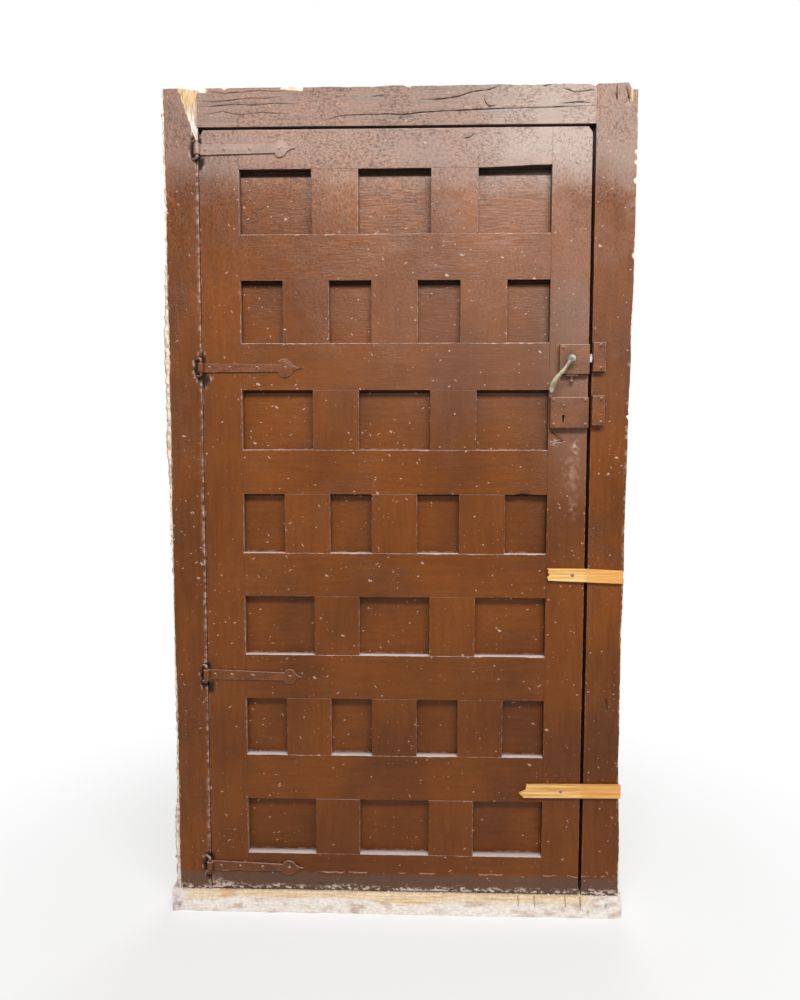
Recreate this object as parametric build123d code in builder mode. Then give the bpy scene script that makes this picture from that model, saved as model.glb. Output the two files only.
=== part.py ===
"""Panelled wooden door in its rebated frame.

The origin is at the middle of the sill board's underside, half-way through the frame's depth.
+X runs from the hinge side to the lock side, +Y from the front face to the back, +Z up.
All sizes are in millimetres.
"""
import math
import os
from typing import NamedTuple

from build123d import *

os.makedirs("parts", exist_ok=True)

# Frame timbers
frame_depth = 90.0
hinge_jamb_width = 83.0
lock_jamb_width = 89.0
head_height = 95.0
sill_height = 60.0
sill_proud = 6.0
sill_past_hinge_jamb = 20.0
sill_past_lock_jamb = 16.0

# Leaf timbers, from the bottom rail up
leaf_thickness = 45.0
hinge_stile_width = 98.0
lock_stile_width = 96.0
rail_heights = (98.0, 118.0, 115.0, 112.0, 112.0, 116.0, 112.0, 94.0)
panel_heights = (148.0, 150.0, 152.0, 150.0, 149.0, 153.0, 156.0)
panels_in_row = (3, 4, 3, 4, 3, 4, 3)
panel_field_width = 766.0
muntin_width = 115.0

# Gaps round the leaf
hinge_gap = 2.5
lock_gap = 8.5
head_gap = 7.0
sill_gap = 4.0
stop_gap = 1.5
stop_lap = 12.0

# Panels and joints
panel_recess = 26.0
panel_thickness = 13.0
groove_depth = 10.0
groove_slack = 0.2
tongue_slack = 0.8
rail_tenon_length = 60.0
tenon_shoulder = 18.0
mortise_slack = 0.8
head_tenon_length = 40.0
head_tenon_thickness = 24.0
head_tenon_shoulder = 16.0

# Strap hinges
strap_thickness = 4.0
finial_shoulder_share = 0.29
finial_flank_share = 0.46
finial_flank_height_share = 0.40
eye_radius = 8.0
pin_radius = 4.0
running_clearance = 0.05
eye_face_clearance = 0.4
pintle_half_height = 21.5
pintle_bend_radius = 7.0
pintle_leg_length = 62.0
pintle_hole_clearance = 0.1


class Strap(NamedTuple):
    """One hand-forged strap: lengths from the pin, rise above its rail's middle, droop at the finial."""

    rail: int
    rise: float
    droop: float
    height: float
    neck_height: float
    neck_length: float
    finial_centre: float
    finial_height: float
    length: float
    nails: tuple


straps = (
    Strap(1, 15.0, 4.0, 24.0, 17.0, 189.0, 208.0, 37.0, 244.0, nails=(27.0, 78.0, 137.0)),
    Strap(3, 6.0, 5.0, 25.0, 19.0, 200.0, 214.0, 39.0, 244.0, nails=(21.0, 64.0, 118.0)),
    Strap(6, -2.5, 0.5, 21.5, 18.0, 194.0, 209.0, 46.0, 251.0, nails=(19.0, 71.0, 139.0)),
    Strap(8, -0.5, -1.5, 25.0, 21.5, 190.0, 201.0, 42.0, 240.0, nails=(18.0, 65.0, 128.0)),
)

# Nails and screws
nail_shank = 3.4
nail_head_radius = 4.6
nail_head_height = 2.2
nail_length = 32.0
screw_radius = 2.0
screw_head_radius = 5.0
screw_head_height = 2.6
screw_depth_in_wood = 22.0

# Cases of the latch and the lock, and their keepers
case_depth = 18.0
case_wall = 2.0
plate_thickness = 2.0
case_corner = 2.0
bolt_slack = 0.3
keeper_width = 29.0
keeper_inset = 0.5
keeper_screw_inset = 8.0
keeper_lip_thickness = 1.5

# Upper latch
latch_width = 73.5
latch_height = 72.5
latch_plate_lip = 7.0
latch_hub_from_edge = 47.0
latch_hub_below_top = 35.4
latch_bolt_height = 20.5
latch_bolt_rise = 1.8
latch_bolt_thickness = 12.0
latch_bolt_proud = 7.5
latch_keeper_height = 71.5
latch_keeper_rise = 6.0
latch_keeper_lip = 4.0
latch_keeper_screw_from_end = 11.5
latch_bottom_above_leaf = 1341.5
latch_screw_inset = 8.0

# Lever and the cam that drives the latch bolt
lever_turn = 65.0
cam_radius = 13.0
cam_pin_radius = 2.0
cam_pin_slack = 0.25
cam_thickness = 3.0
cam_hub_radius = 8.0
cam_arm_width = 8.0
cam_front_clearance = 1.5
cam_back_clearance = 1.0
cam_pin_overhang = 0.8
spindle_radius = 5.0
spindle_square = 7.0
spindle_stub_radius = 3.0
lever_standoff = 21.0
rose_radius = 9.5
rose_height = 5.0
lever_boss_radius = 8.6
lever_boss_half = 4.5
lever_boss_round = 1.8
rivet_radius = 3.4
rivet_proud = 2.0
tail_thickness = 4.0
tail_slot_rim = 3.0
tail_slot_cap = 4.0
tail_fork_rim = 2.5
bolt_nose_chamfer = 1.5

# Snib under the latch case
snib_offset = 4.5
snib_length = 30.0
snib_width = 8.0
snib_thickness = 2.8
snib_neck_length = 6.0
snib_neck_width = 4.0
snib_head_length = 12.0
snib_head_thickness = 2.0
snib_travel = 5.0
snib_knob_radius = 4.8
snib_knob_drop = 17.0
snib_stem_radius = 2.2

# Lower lock
lock_width = 94.0
lock_height = 76.0
lock_bottom_above_leaf = 1210.0
lock_keeper_height = 73.5
lock_keeper_rise = 5.9
lock_keeper_screw_from_end = 8.0
lock_screw_inset = 8.0
dead_bolt_height = 20.0
dead_bolt_thickness = 8.0
dead_bolt_length = 83.5
dead_bolt_travel = 16.0
dead_bolt_above_bottom = 44.0
key_from_edge = 62.7
key_above_bottom = 29.0
keyhole_radius = 3.8
keyhole_slot_width = 4.6
keyhole_length = 20.0
guide_pin_radius = 2.5
guide_pin_from_edge = 61.3
guide_head_radius = 4.4
guide_head_height = 1.8
lock_spring_thickness = 0.8
lock_spring_length = 58.0

# Laths nailed across the lock stile and reaching over the jamb
batten_thickness = 9.0
upper_batten_above_leaf = 839.5
upper_batten_short_of_jamb = 2.0
upper_nail_from_edge = 31.5
upper_nail_rise = 2.5
lower_batten_above_leaf = 280.0
lower_batten_past_jamb = 4.5
lower_nail_from_edge = 51.0

# Places worked out from the sizes above
face_y = -frame_depth / 2
back_y = frame_depth / 2
leaf_back_y = face_y + leaf_thickness
rebate_y = leaf_back_y + stop_gap
leaf_width = hinge_stile_width + panel_field_width + lock_stile_width
leaf_height = sum(rail_heights) + sum(panel_heights)
frame_width = hinge_jamb_width + hinge_gap + leaf_width + lock_gap + lock_jamb_width
left_outer_x = -frame_width / 2
left_inner_x = left_outer_x + hinge_jamb_width
leaf_x0 = left_inner_x + hinge_gap
leaf_x1 = leaf_x0 + leaf_width
right_inner_x = leaf_x1 + lock_gap
right_outer_x = right_inner_x + lock_jamb_width
field_x0 = leaf_x0 + hinge_stile_width
field_x1 = field_x0 + panel_field_width
leaf_z0 = sill_height + sill_gap
leaf_z1 = leaf_z0 + leaf_height
head_z = leaf_z1 + head_gap
frame_top = head_z + head_height
left_stop_x = leaf_x0 + stop_lap
right_stop_x = leaf_x1 - stop_lap
head_stop_z = leaf_z1 - stop_lap

groove_y0 = face_y + panel_recess - groove_slack
groove_y1 = face_y + panel_recess + panel_thickness + groove_slack
panel_y0 = face_y + panel_recess
panel_y1 = panel_y0 + panel_thickness

rail_z = []
row_z = []
level = leaf_z0
for index, rail_height in enumerate(rail_heights):
    rail_z.append((level, level + rail_height))
    level += rail_height
    if index < len(panel_heights):
        row_z.append((level, level + panel_heights[index]))
        level += panel_heights[index]

pin_x = left_inner_x + hinge_gap / 2
pin_y = face_y - eye_radius - eye_face_clearance
strap_z = [sum(rail_z[strap.rail - 1]) / 2 + strap.rise for strap in straps]

plate_front_y = face_y - plate_thickness
case_front_y = face_y - case_depth
latch_x0 = leaf_x1 - latch_width
latch_z0 = leaf_z0 + latch_bottom_above_leaf
latch_z1 = latch_z0 + latch_height
hub_x = leaf_x1 - latch_hub_from_edge
hub_z = latch_z1 - latch_hub_below_top
latch_travel = 2 * cam_radius * math.sin(math.radians(lever_turn / 2))
lock_x0 = leaf_x1 - lock_width
lock_z0 = leaf_z0 + lock_bottom_above_leaf
lock_z1 = lock_z0 + lock_height
keeper_x0 = right_inner_x + keeper_inset
keeper_x1 = keeper_x0 + keeper_width


def save(piece, name):
    """Label a finished piece and write it to its own file."""
    piece.part.label = name
    export_step(piece.part, f"parts/{name}.step")


def block(x0, x1, y0, y1, z0, z1, mode=Mode.ADD):
    """Add or cut a rectangular block between two corners."""
    with Locations(((x0 + x1) / 2, (y0 + y1) / 2, (z0 + z1) / 2)):
        Box(x1 - x0, y1 - y0, z1 - z0, mode=mode)


def front_at(x, y, z):
    """A plane facing the viewer: its own x runs along +X, its y up, and extrusions come forwards."""
    return Plane(origin=(x, y, z), x_dir=(1, 0, 0), z_dir=(0, -1, 0))


def nail_holes(points, y_start, depth):
    """Cut a square hole for each nail shank, from y_start back into the timber."""
    for x, z in points:
        half = nail_shank / 2
        block(x - half, x + half, y_start, y_start + depth, z - half, z + half, Mode.SUBTRACT)


def screw_holes(points, y_start, depth):
    """Cut a round hole for each screw shank, from y_start backwards."""
    for x, z in points:
        with Locations(front_at(x, y_start + depth, z)):
            Cylinder(screw_radius, depth, align=(Align.CENTER, Align.CENTER, Align.MIN), mode=Mode.SUBTRACT)


# Places of the nails and screws
strap_nails_at = [
    (pin_x + offset, z - offset * strap.droop / strap.finial_centre)
    for strap, z in zip(straps, strap_z)
    for offset in (*strap.nails, strap.finial_centre)
]
latch_screws_at = [
    (latch_x0 + latch_screw_inset, latch_z1 - latch_screw_inset),
    (latch_x0 + latch_screw_inset, latch_z0 + latch_screw_inset),
]
lock_screws_at = [
    (x, z)
    for x in (lock_x0 + lock_screw_inset, leaf_x1 - lock_screw_inset)
    for z in (lock_z0 + lock_screw_inset, lock_z1 - lock_screw_inset)
]
latch_keeper_z0 = latch_z0 + latch_keeper_rise
lock_keeper_z0 = lock_z0 + lock_keeper_rise
keeper_screws_at = [
    (keeper_x1 - from_end, z)
    for low, height, from_end in (
        (latch_keeper_z0, latch_keeper_height, latch_keeper_screw_from_end),
        (lock_keeper_z0, lock_keeper_height, lock_keeper_screw_from_end),
    )
    for z in (low + keeper_screw_inset, low + height - keeper_screw_inset)
]
upper_batten_z = leaf_z0 + upper_batten_above_leaf
lower_batten_z = leaf_z0 + lower_batten_above_leaf
batten_nails_at = [
    (leaf_x1 - upper_nail_from_edge, upper_batten_z + upper_nail_rise),
    (leaf_x1 - lower_nail_from_edge, lower_batten_z),
]

# Frame timbers

# A splinter is missing from the top inner corner of the left jamb, and a chip from the head's left end
splinter_width = 42.0
splinter_height = 136.0
splinter_depth = 14.0
chip_width = 22.0
chip_height = 12.0
head_tenon_setback = 22.0


def jamb_section(outer_x, inner_x, stop_x):
    """Section of a jamb standing on the sill board, rebated behind the leaf."""
    with BuildSketch(Plane.XY.offset(sill_height)) as section:
        with BuildLine():
            Polyline(
                (outer_x, face_y),
                (inner_x, face_y),
                (inner_x, rebate_y),
                (stop_x, rebate_y),
                (stop_x, back_y),
                (outer_x, back_y),
                close=True,
            )
        make_face()
    return section.sketch


def head_tenon(x0, x1, slack, mode):
    """The head's tenon between two x places, or with some slack the mortise that takes it."""
    y0 = face_y + head_tenon_setback
    z0 = head_z + head_tenon_shoulder
    z1 = frame_top - head_tenon_shoulder
    block(x0, x1, y0, y0 + head_tenon_thickness, z0 - slack, z1 + slack, mode)


def pintle_plane(z):
    """Plane of one pintle: its own x runs diagonally back into the jamb and its y runs up."""
    return Plane(origin=(pin_x, pin_y, z), x_dir=(-1, 1, 0), z_dir=(1, 1, 0))


jamb_height = frame_top - sill_height
sill_nail_y = 20.0
sill_nail_recess = 3.0
sill_nail_length = 90.0
left_jamb_middle = (left_outer_x + left_inner_x) / 2
right_jamb_middle = (right_inner_x + right_outer_x) / 2
sill_nails_at = [(x, y) for x in (left_jamb_middle, right_jamb_middle) for y in (-sill_nail_y, sill_nail_y)]


def sill_nail_holes(points, z0, z1):
    """Cut an upright square hole for each nail between two heights."""
    for x, y in points:
        half = nail_shank / 2
        block(x - half, x + half, y - half, y + half, z0, z1, Mode.SUBTRACT)


with BuildPart() as left_jamb:
    extrude(jamb_section(left_outer_x, left_inner_x, left_stop_x), amount=jamb_height)
    head_tenon(left_inner_x - head_tenon_length - mortise_slack, left_inner_x, groove_slack, Mode.SUBTRACT)
    for z in strap_z:
        for side in (-1, 1):
            leg = pintle_plane(z + side * pintle_half_height)
            with Locations(Plane(origin=leg.origin, z_dir=leg.x_dir)):
                Cylinder(
                    pin_radius + pintle_hole_clearance,
                    pintle_leg_length + mortise_slack,
                    align=(Align.CENTER, Align.CENTER, Align.MIN),
                    mode=Mode.SUBTRACT,
                )
    sill_nail_holes(sill_nails_at[:2], sill_height, sill_nail_length + sill_nail_recess)
    scar_start = Vector(left_inner_x - splinter_width, face_y, frame_top)
    scar_foot = Vector(left_inner_x, face_y, frame_top - splinter_height)
    scar_back = Vector(left_inner_x, face_y + splinter_depth, frame_top)
    scar_normal = (scar_foot - scar_start).cross(scar_back - scar_start)
    split(bisect_by=Plane(origin=scar_start, z_dir=scar_normal), keep=Keep.BOTTOM)
save(left_jamb, "left_jamb")

# The lock-side jamb's front arris keeps the tree's bend: height, and how far it stands out there
bend_depth = 34.0
bend_overlap = 2.0
upper_bend = (
    (740.0, 0.0),
    (950.0, 3.5),
    (1250.0, 4.5),
    (1550.0, 8.0),
    (1800.0, 12.0),
    (1985.0, 11.0),
    (frame_top, 10.0),
)
lower_bend = ((sill_height, 10.0), (260.0, 5.0), (420.0, 0.0))


def bend(heights):
    """Strip of timber beyond the jamb's outer face, between the first and last of these heights."""
    with BuildSketch(front_at(right_outer_x, face_y + bend_depth, 0)) as strip:
        with BuildLine():
            Spline(*[(out, height) for height, out in heights])
            Polyline(
                (heights[0][1], heights[0][0]),
                (-bend_overlap, heights[0][0]),
                (-bend_overlap, heights[-1][0]),
                (heights[-1][1], heights[-1][0]),
            )
        make_face()
    extrude(strip.sketch, amount=bend_depth, dir=(0, -1, 0))


with BuildPart() as right_jamb:
    extrude(jamb_section(right_outer_x, right_inner_x, right_stop_x), amount=jamb_height)
    bend(upper_bend)
    bend(lower_bend)
    head_tenon(right_inner_x, right_inner_x + head_tenon_length + mortise_slack, groove_slack, Mode.SUBTRACT)
    sill_nail_holes(sill_nails_at[2:], sill_height, sill_nail_length + sill_nail_recess)
    screw_holes(keeper_screws_at, face_y, screw_depth_in_wood)
save(right_jamb, "right_jamb")

with BuildPart() as head_beam:
    with BuildSketch(Plane.YZ.offset(left_inner_x)):
        with BuildLine():
            Polyline(
                (face_y, frame_top),
                (face_y, head_z),
                (rebate_y, head_z),
                (rebate_y, head_stop_z),
                (back_y, head_stop_z),
                (back_y, frame_top),
                close=True,
            )
        make_face()
    extrude(amount=right_inner_x - left_inner_x)
    block(left_inner_x, left_stop_x, rebate_y, back_y, head_stop_z, frame_top, Mode.SUBTRACT)
    block(right_stop_x, right_inner_x, rebate_y, back_y, head_stop_z, frame_top, Mode.SUBTRACT)
    head_tenon(left_inner_x - head_tenon_length, left_inner_x, 0, Mode.ADD)
    head_tenon(right_inner_x, right_inner_x + head_tenon_length, 0, Mode.ADD)
    chip_x1 = left_inner_x + chip_width
    block(left_inner_x, chip_x1, face_y, back_y, frame_top - chip_height, frame_top, Mode.SUBTRACT)
save(head_beam, "head_beam")

with BuildPart() as sill_board:
    block(
        left_outer_x - sill_past_hinge_jamb,
        right_outer_x + sill_past_lock_jamb,
        face_y - sill_proud,
        back_y,
        0,
        sill_height,
    )
    sill_nail_holes(sill_nails_at, sill_nail_recess, sill_height)
    with Locations(*[(x, y, 0) for x, y in sill_nails_at]):
        Cylinder(
            nail_head_radius + bolt_slack,
            sill_nail_recess,
            align=(Align.CENTER, Align.CENTER, Align.MIN),
            mode=Mode.SUBTRACT,
        )
save(sill_board, "sill_board")

nail_head_taper = 48.0
nail_point_length = 6.0
nail_point_taper = 13.0


def nails(planes, length):
    """Forged nails: an eight-sided head proud of each plane and a square shank that ends in a point."""
    with BuildPart() as group:
        with BuildSketch(*planes):
            RegularPolygon(nail_head_radius, 8)
        extrude(amount=nail_head_height, taper=nail_head_taper)
        with BuildSketch(*planes):
            Rectangle(nail_shank, nail_shank)
        extrude(amount=-(length - nail_point_length))
        with BuildSketch(*[plane.offset(nail_point_length - length) for plane in planes]):
            Rectangle(nail_shank, nail_shank)
        extrude(amount=-nail_point_length, taper=nail_point_taper)
    return group


sill_nail_planes = [
    Plane(origin=(x, y, sill_nail_recess), x_dir=(1, 0, 0), z_dir=(0, 0, -1)) for x, y in sill_nails_at
]
sill_nails = nails(sill_nail_planes, sill_nail_length)
save(sill_nails, "sill_nails")

# Pintles: staples driven into the jamb, whose upright middle is the hinge pin
for number, z in enumerate(strap_z, start=1):
    with BuildPart() as pintle:
        with BuildLine(pintle_plane(z)) as route:
            FilletPolyline(
                (pintle_leg_length, pintle_half_height),
                (0, pintle_half_height),
                (0, -pintle_half_height),
                (pintle_leg_length, -pintle_half_height),
                radius=pintle_bend_radius,
            )
        with BuildSketch(Plane(origin=route.line @ 0, z_dir=route.line % 0)):
            Circle(pin_radius)
        sweep()
    save(pintle, f"pintle_{number}")


def keeper(z0, height, lip=0.0):
    """Folded iron box on the jamb, open behind and on the bolt's side, with a lip beyond it."""
    with BuildPart() as box:
        block(keeper_x0, keeper_x1, case_front_y, face_y, z0, z0 + height)
        fillet(box.faces().sort_by(Axis.Y)[0].edges().filter_by(Axis.X), case_corner)
        block(
            keeper_x0,
            keeper_x1 - case_wall,
            case_front_y + case_wall,
            face_y,
            z0 + case_wall,
            z0 + height - case_wall,
            Mode.SUBTRACT,
        )
        if lip:
            lip_front = face_y - keeper_lip_thickness
            block(keeper_x1 - case_wall, keeper_x1 + lip, lip_front, face_y, z0, z0 + height)
        screw_holes([at for at in keeper_screws_at if z0 < at[1] < z0 + height], case_front_y, case_wall)
    return box


latch_keeper = keeper(latch_keeper_z0, latch_keeper_height, latch_keeper_lip)
save(latch_keeper, "latch_keeper")
lock_keeper = keeper(lock_keeper_z0, lock_keeper_height)
save(lock_keeper, "lock_keeper")


def round_screws(points, head_y, tip_y):
    """Round-headed screws whose heads sit on the face at head_y and whose shanks end at tip_y."""
    with BuildPart() as group:
        for x, z in points:
            with BuildSketch(Plane(origin=(x, head_y, z), x_dir=(1, 0, 0), z_dir=(0, 0, 1))):
                with BuildLine():
                    TangentArc((0, -screw_head_height), (screw_head_radius, 0), tangent=(1, 0))
                    Polyline(
                        (screw_head_radius, 0),
                        (screw_radius, 0),
                        (screw_radius, tip_y - head_y),
                        (0, tip_y - head_y),
                        (0, -screw_head_height),
                    )
                make_face()
            revolve(axis=Axis((x, head_y, z), (0, 1, 0)))
    return group


screw_tip_y = face_y + screw_depth_in_wood
keeper_screws = round_screws(keeper_screws_at, case_front_y, screw_tip_y)
save(keeper_screws, "keeper_screws")

# Leaf timbers


def rail_tenon_heights(index):
    """Lowest and highest z of a rail's tenon; the end rails keep a shoulder at the leaf's end."""
    z0, z1 = rail_z[index]
    low = z0 + (tenon_shoulder if index == 0 else groove_depth)
    high = z1 - (tenon_shoulder if index == len(rail_z) - 1 else groove_depth)
    return low, high


def rail_mortises(edge_x, deep_x):
    """Cut the mortises of all the rails into a stile, from its inner edge to deep_x."""
    for index in range(len(rail_z)):
        low, high = rail_tenon_heights(index)
        x0, x1 = sorted((edge_x, deep_x))
        block(x0, x1, groove_y0, groove_y1, low - groove_slack, high + groove_slack, Mode.SUBTRACT)


def nails_within(x0, x1, z0=0.0, z1=frame_top):
    """The strap nails whose shanks go into the timber between these edges."""
    return [(x, z) for x, z in strap_nails_at if x0 < x < x1 and z0 < z < z1]


def through_tenon(points, z0, z1):
    """The fasteners at the lock stile that also go through a rail's tenon."""
    return [(x, z) for x, z in points if x < field_x1 + rail_tenon_length + nail_shank and z0 < z < z1]


groove_z0 = rail_z[0][1] - groove_depth
groove_z1 = rail_z[-1][0] + groove_depth
mortise_depth = rail_tenon_length + mortise_slack
nail_depth = nail_length - strap_thickness
batten_nail_depth = nail_length - batten_thickness

# The leaf's top corners are knocked off: how far across and how far down
hinge_corner = (11.0, 25.0)
lock_corner = (10.0, 14.0)


def knock_off(edge_x, inward, size):
    """Cut off the leaf's top corner at this edge."""
    across, down = size
    with BuildSketch(front_at(edge_x, leaf_back_y, leaf_z1)) as corner:
        with BuildLine():
            Polyline((0, 0), (inward * across, 0), (0, -down), close=True)
        make_face()
    extrude(corner.sketch, amount=leaf_thickness, mode=Mode.SUBTRACT)


with BuildPart() as hinge_stile:
    block(leaf_x0, field_x0, face_y, leaf_back_y, leaf_z0, leaf_z1)
    knock_off(leaf_x0, 1, hinge_corner)
    block(field_x0 - groove_depth, field_x0, groove_y0, groove_y1, groove_z0, groove_z1, Mode.SUBTRACT)
    rail_mortises(field_x0, field_x0 - mortise_depth)
    nail_holes(nails_within(leaf_x0, field_x0), face_y, nail_depth)
save(hinge_stile, "hinge_stile")

with BuildPart() as lock_stile:
    block(field_x1, leaf_x1, face_y, leaf_back_y, leaf_z0, leaf_z1)
    knock_off(leaf_x1, -1, lock_corner)
    block(field_x1, field_x1 + groove_depth, groove_y0, groove_y1, groove_z0, groove_z1, Mode.SUBTRACT)
    rail_mortises(field_x1, field_x1 + mortise_depth)
    nail_holes(batten_nails_at, face_y, batten_nail_depth)
    screw_holes(latch_screws_at + lock_screws_at, face_y, screw_depth_in_wood)
save(lock_stile, "lock_stile")

for index, (z0, z1) in enumerate(rail_z):
    low, high = rail_tenon_heights(index)
    with BuildPart() as rail:
        block(field_x0, field_x1, face_y, leaf_back_y, z0, z1)
        block(field_x0 - rail_tenon_length, field_x0, panel_y0, panel_y1, low, high)
        block(field_x1, field_x1 + rail_tenon_length, panel_y0, panel_y1, low, high)
        if index > 0:
            block(field_x0, field_x1, groove_y0, groove_y1, z0, z0 + groove_depth, Mode.SUBTRACT)
        if index < len(rail_z) - 1:
            block(field_x0, field_x1, groove_y0, groove_y1, z1 - groove_depth, z1, Mode.SUBTRACT)
        nail_holes(nails_within(leaf_x0, field_x1, z0, z1), face_y, nail_depth)
        nail_holes(through_tenon(batten_nails_at, z0, z1), face_y, batten_nail_depth)
        screw_holes(through_tenon(latch_screws_at + lock_screws_at, z0, z1), face_y, screw_depth_in_wood)
    save(rail, f"rail_{index + 1}")


def row_columns(count):
    """Left and right edges of each panel opening in a row of this many panels."""
    width = (panel_field_width - (count - 1) * muntin_width) / count
    starts = [field_x0 + i * (width + muntin_width) for i in range(count)]
    return [(start, start + width) for start in starts]


for row, (z0, z1) in enumerate(row_z, start=1):
    columns = row_columns(panels_in_row[row - 1])
    tongue = groove_depth - tongue_slack
    with BuildPart() as muntins:
        for (_, x0), (x1, _) in zip(columns[:-1], columns[1:]):
            block(x0, x1, face_y, leaf_back_y, z0, z1)
            block(x0 + groove_depth, x1 - groove_depth, panel_y0, panel_y1, z0 - tongue, z1 + tongue)
            block(x0, x0 + groove_depth, groove_y0, groove_y1, z0, z1, Mode.SUBTRACT)
            block(x1 - groove_depth, x1, groove_y0, groove_y1, z0, z1, Mode.SUBTRACT)
    save(muntins, f"muntins_row_{row}")
    with BuildPart() as panels:
        for x0, x1 in columns:
            block(x0 - tongue, x1 + tongue, panel_y0, panel_y1, z0 - tongue, z1 + tongue)
    save(panels, f"panels_row_{row}")

# Strap hinges: forged bars with a rolled eye at one end and a heart-shaped finial at the other


def strap_outline(strap, z):
    """Upper half of the strap's outline mirrored about its centreline, seen from the front."""
    half = strap.height / 2
    lobe = strap.finial_height / 2
    neck = (strap.neck_length, strap.neck_height / 2)
    top = (strap.finial_centre, lobe)
    shoulder = finial_shoulder_share * (strap.finial_centre - strap.neck_length)
    flank = finial_flank_share * (strap.length - strap.finial_centre)
    flank_height = finial_flank_height_share * lobe
    along = (strap.finial_centre, 0, -strap.droop)
    with BuildSketch(Plane(origin=(pin_x, face_y, z), x_dir=along, z_dir=(0, -1, 0))) as outline:
        with BuildLine():
            Line((0, 0), (0, half))
            Line((0, half), neck)
            ThreePointArc(neck, (strap.neck_length + shoulder, lobe * 0.83), top)
            ThreePointArc(
                top,
                (strap.finial_centre + flank * 0.64, lobe * 0.77),
                (strap.finial_centre + flank, flank_height),
            )
            ThreePointArc(
                (strap.finial_centre + flank, flank_height),
                (strap.finial_centre + flank * 1.45, flank_height * 0.38),
                (strap.length, 0),
            )
            mirror(about=Plane.XZ)
        make_face()
    return outline.sketch


for number, (strap, z) in enumerate(zip(straps, strap_z), start=1):
    with BuildPart() as bar:
        extrude(strap_outline(strap, z), amount=strap_thickness, dir=(0, -1, 0))
        with Locations((pin_x, pin_y, z)):
            Cylinder(eye_radius, strap.height)
            Cylinder(pin_radius + running_clearance, strap.height, mode=Mode.SUBTRACT)
        own_nails = [at for at in strap_nails_at if abs(at[1] - z) < strap.finial_height]
        nail_holes(own_nails, pin_y, eye_radius * 2)
    save(bar, f"strap_{number}")

strap_nails = nails([front_at(x, face_y - strap_thickness, z) for x, z in strap_nails_at], nail_length)
save(strap_nails, "strap_nails")

# Upper latch
hub_bore = spindle_radius + running_clearance
bolt_z = hub_z + latch_bolt_rise
bolt_half = latch_bolt_height / 2
bolt_y = (case_front_y + case_wall + plate_front_y) / 2
snib_x = hub_x + snib_offset
snib_plate_top = latch_z0 - bolt_slack
snib_y = (case_front_y + plate_front_y) / 2
snib_slot_half = snib_neck_length / 2 + snib_travel + bolt_slack

with BuildPart() as latch_plate:
    block(latch_x0 - latch_plate_lip, leaf_x1, plate_front_y, face_y, latch_z0, latch_z1)
    with Locations((hub_x, plate_front_y + plate_thickness / 2, hub_z)):
        Cylinder(
            spindle_stub_radius + running_clearance, plate_thickness, rotation=(90, 0, 0), mode=Mode.SUBTRACT
        )
    screw_holes(latch_screws_at, plate_front_y, plate_thickness)
save(latch_plate, "latch_plate")


def rim_case(x0, z0, z1):
    """Folded sheet case on its back plate, open behind, with its front corners rounded."""
    with BuildPart() as case:
        block(x0, leaf_x1, case_front_y, plate_front_y, z0, z1)
        fillet(case.faces().sort_by(Axis.Y)[0].edges(), case_corner)
        block(
            x0 + case_wall,
            leaf_x1 - case_wall,
            case_front_y + case_wall,
            plate_front_y,
            z0 + case_wall,
            z1 - case_wall,
            Mode.SUBTRACT,
        )
    return case.part


with BuildPart() as latch_case:
    add(rim_case(latch_x0, latch_z0, latch_z1))
    with Locations((hub_x, case_front_y, hub_z)):
        Cylinder(hub_bore, 3 * case_wall, rotation=(90, 0, 0), mode=Mode.SUBTRACT)
    block(
        leaf_x1 - 2 * case_wall,
        leaf_x1,
        bolt_y - latch_bolt_thickness / 2 - bolt_slack,
        bolt_y + latch_bolt_thickness / 2 + bolt_slack,
        bolt_z - bolt_half - bolt_slack,
        bolt_z + bolt_half + bolt_slack,
        Mode.SUBTRACT,
    )
    block(
        snib_x - snib_slot_half,
        snib_x + snib_slot_half,
        snib_y - snib_neck_width / 2 - bolt_slack,
        snib_y + snib_neck_width / 2 + bolt_slack,
        latch_z0,
        latch_z0 + case_wall,
        Mode.SUBTRACT,
    )
    screw_holes(latch_screws_at, case_front_y, case_wall)
save(latch_case, "latch_case")

# The cam lies in front of the bolt's tail, and its pin stands in the tail's upright slot
cam_y = case_front_y + case_wall + cam_front_clearance
tail_y = cam_y + cam_thickness + cam_back_clearance
nose_x0 = hub_x + cam_radius + cam_arm_width / 2 + cam_back_clearance
nose_x1 = leaf_x1 + latch_bolt_proud
pin_swing = latch_travel / 2
pin_low = cam_radius * math.cos(math.radians(lever_turn / 2))
slot_half = cam_pin_radius + cam_pin_slack
fork_half = spindle_square * math.sqrt(2) / 2 + bolt_slack
tail_back_x = hub_x - latch_travel - fork_half
tail_top = hub_z + cam_radius + slot_half + tail_slot_cap

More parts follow.
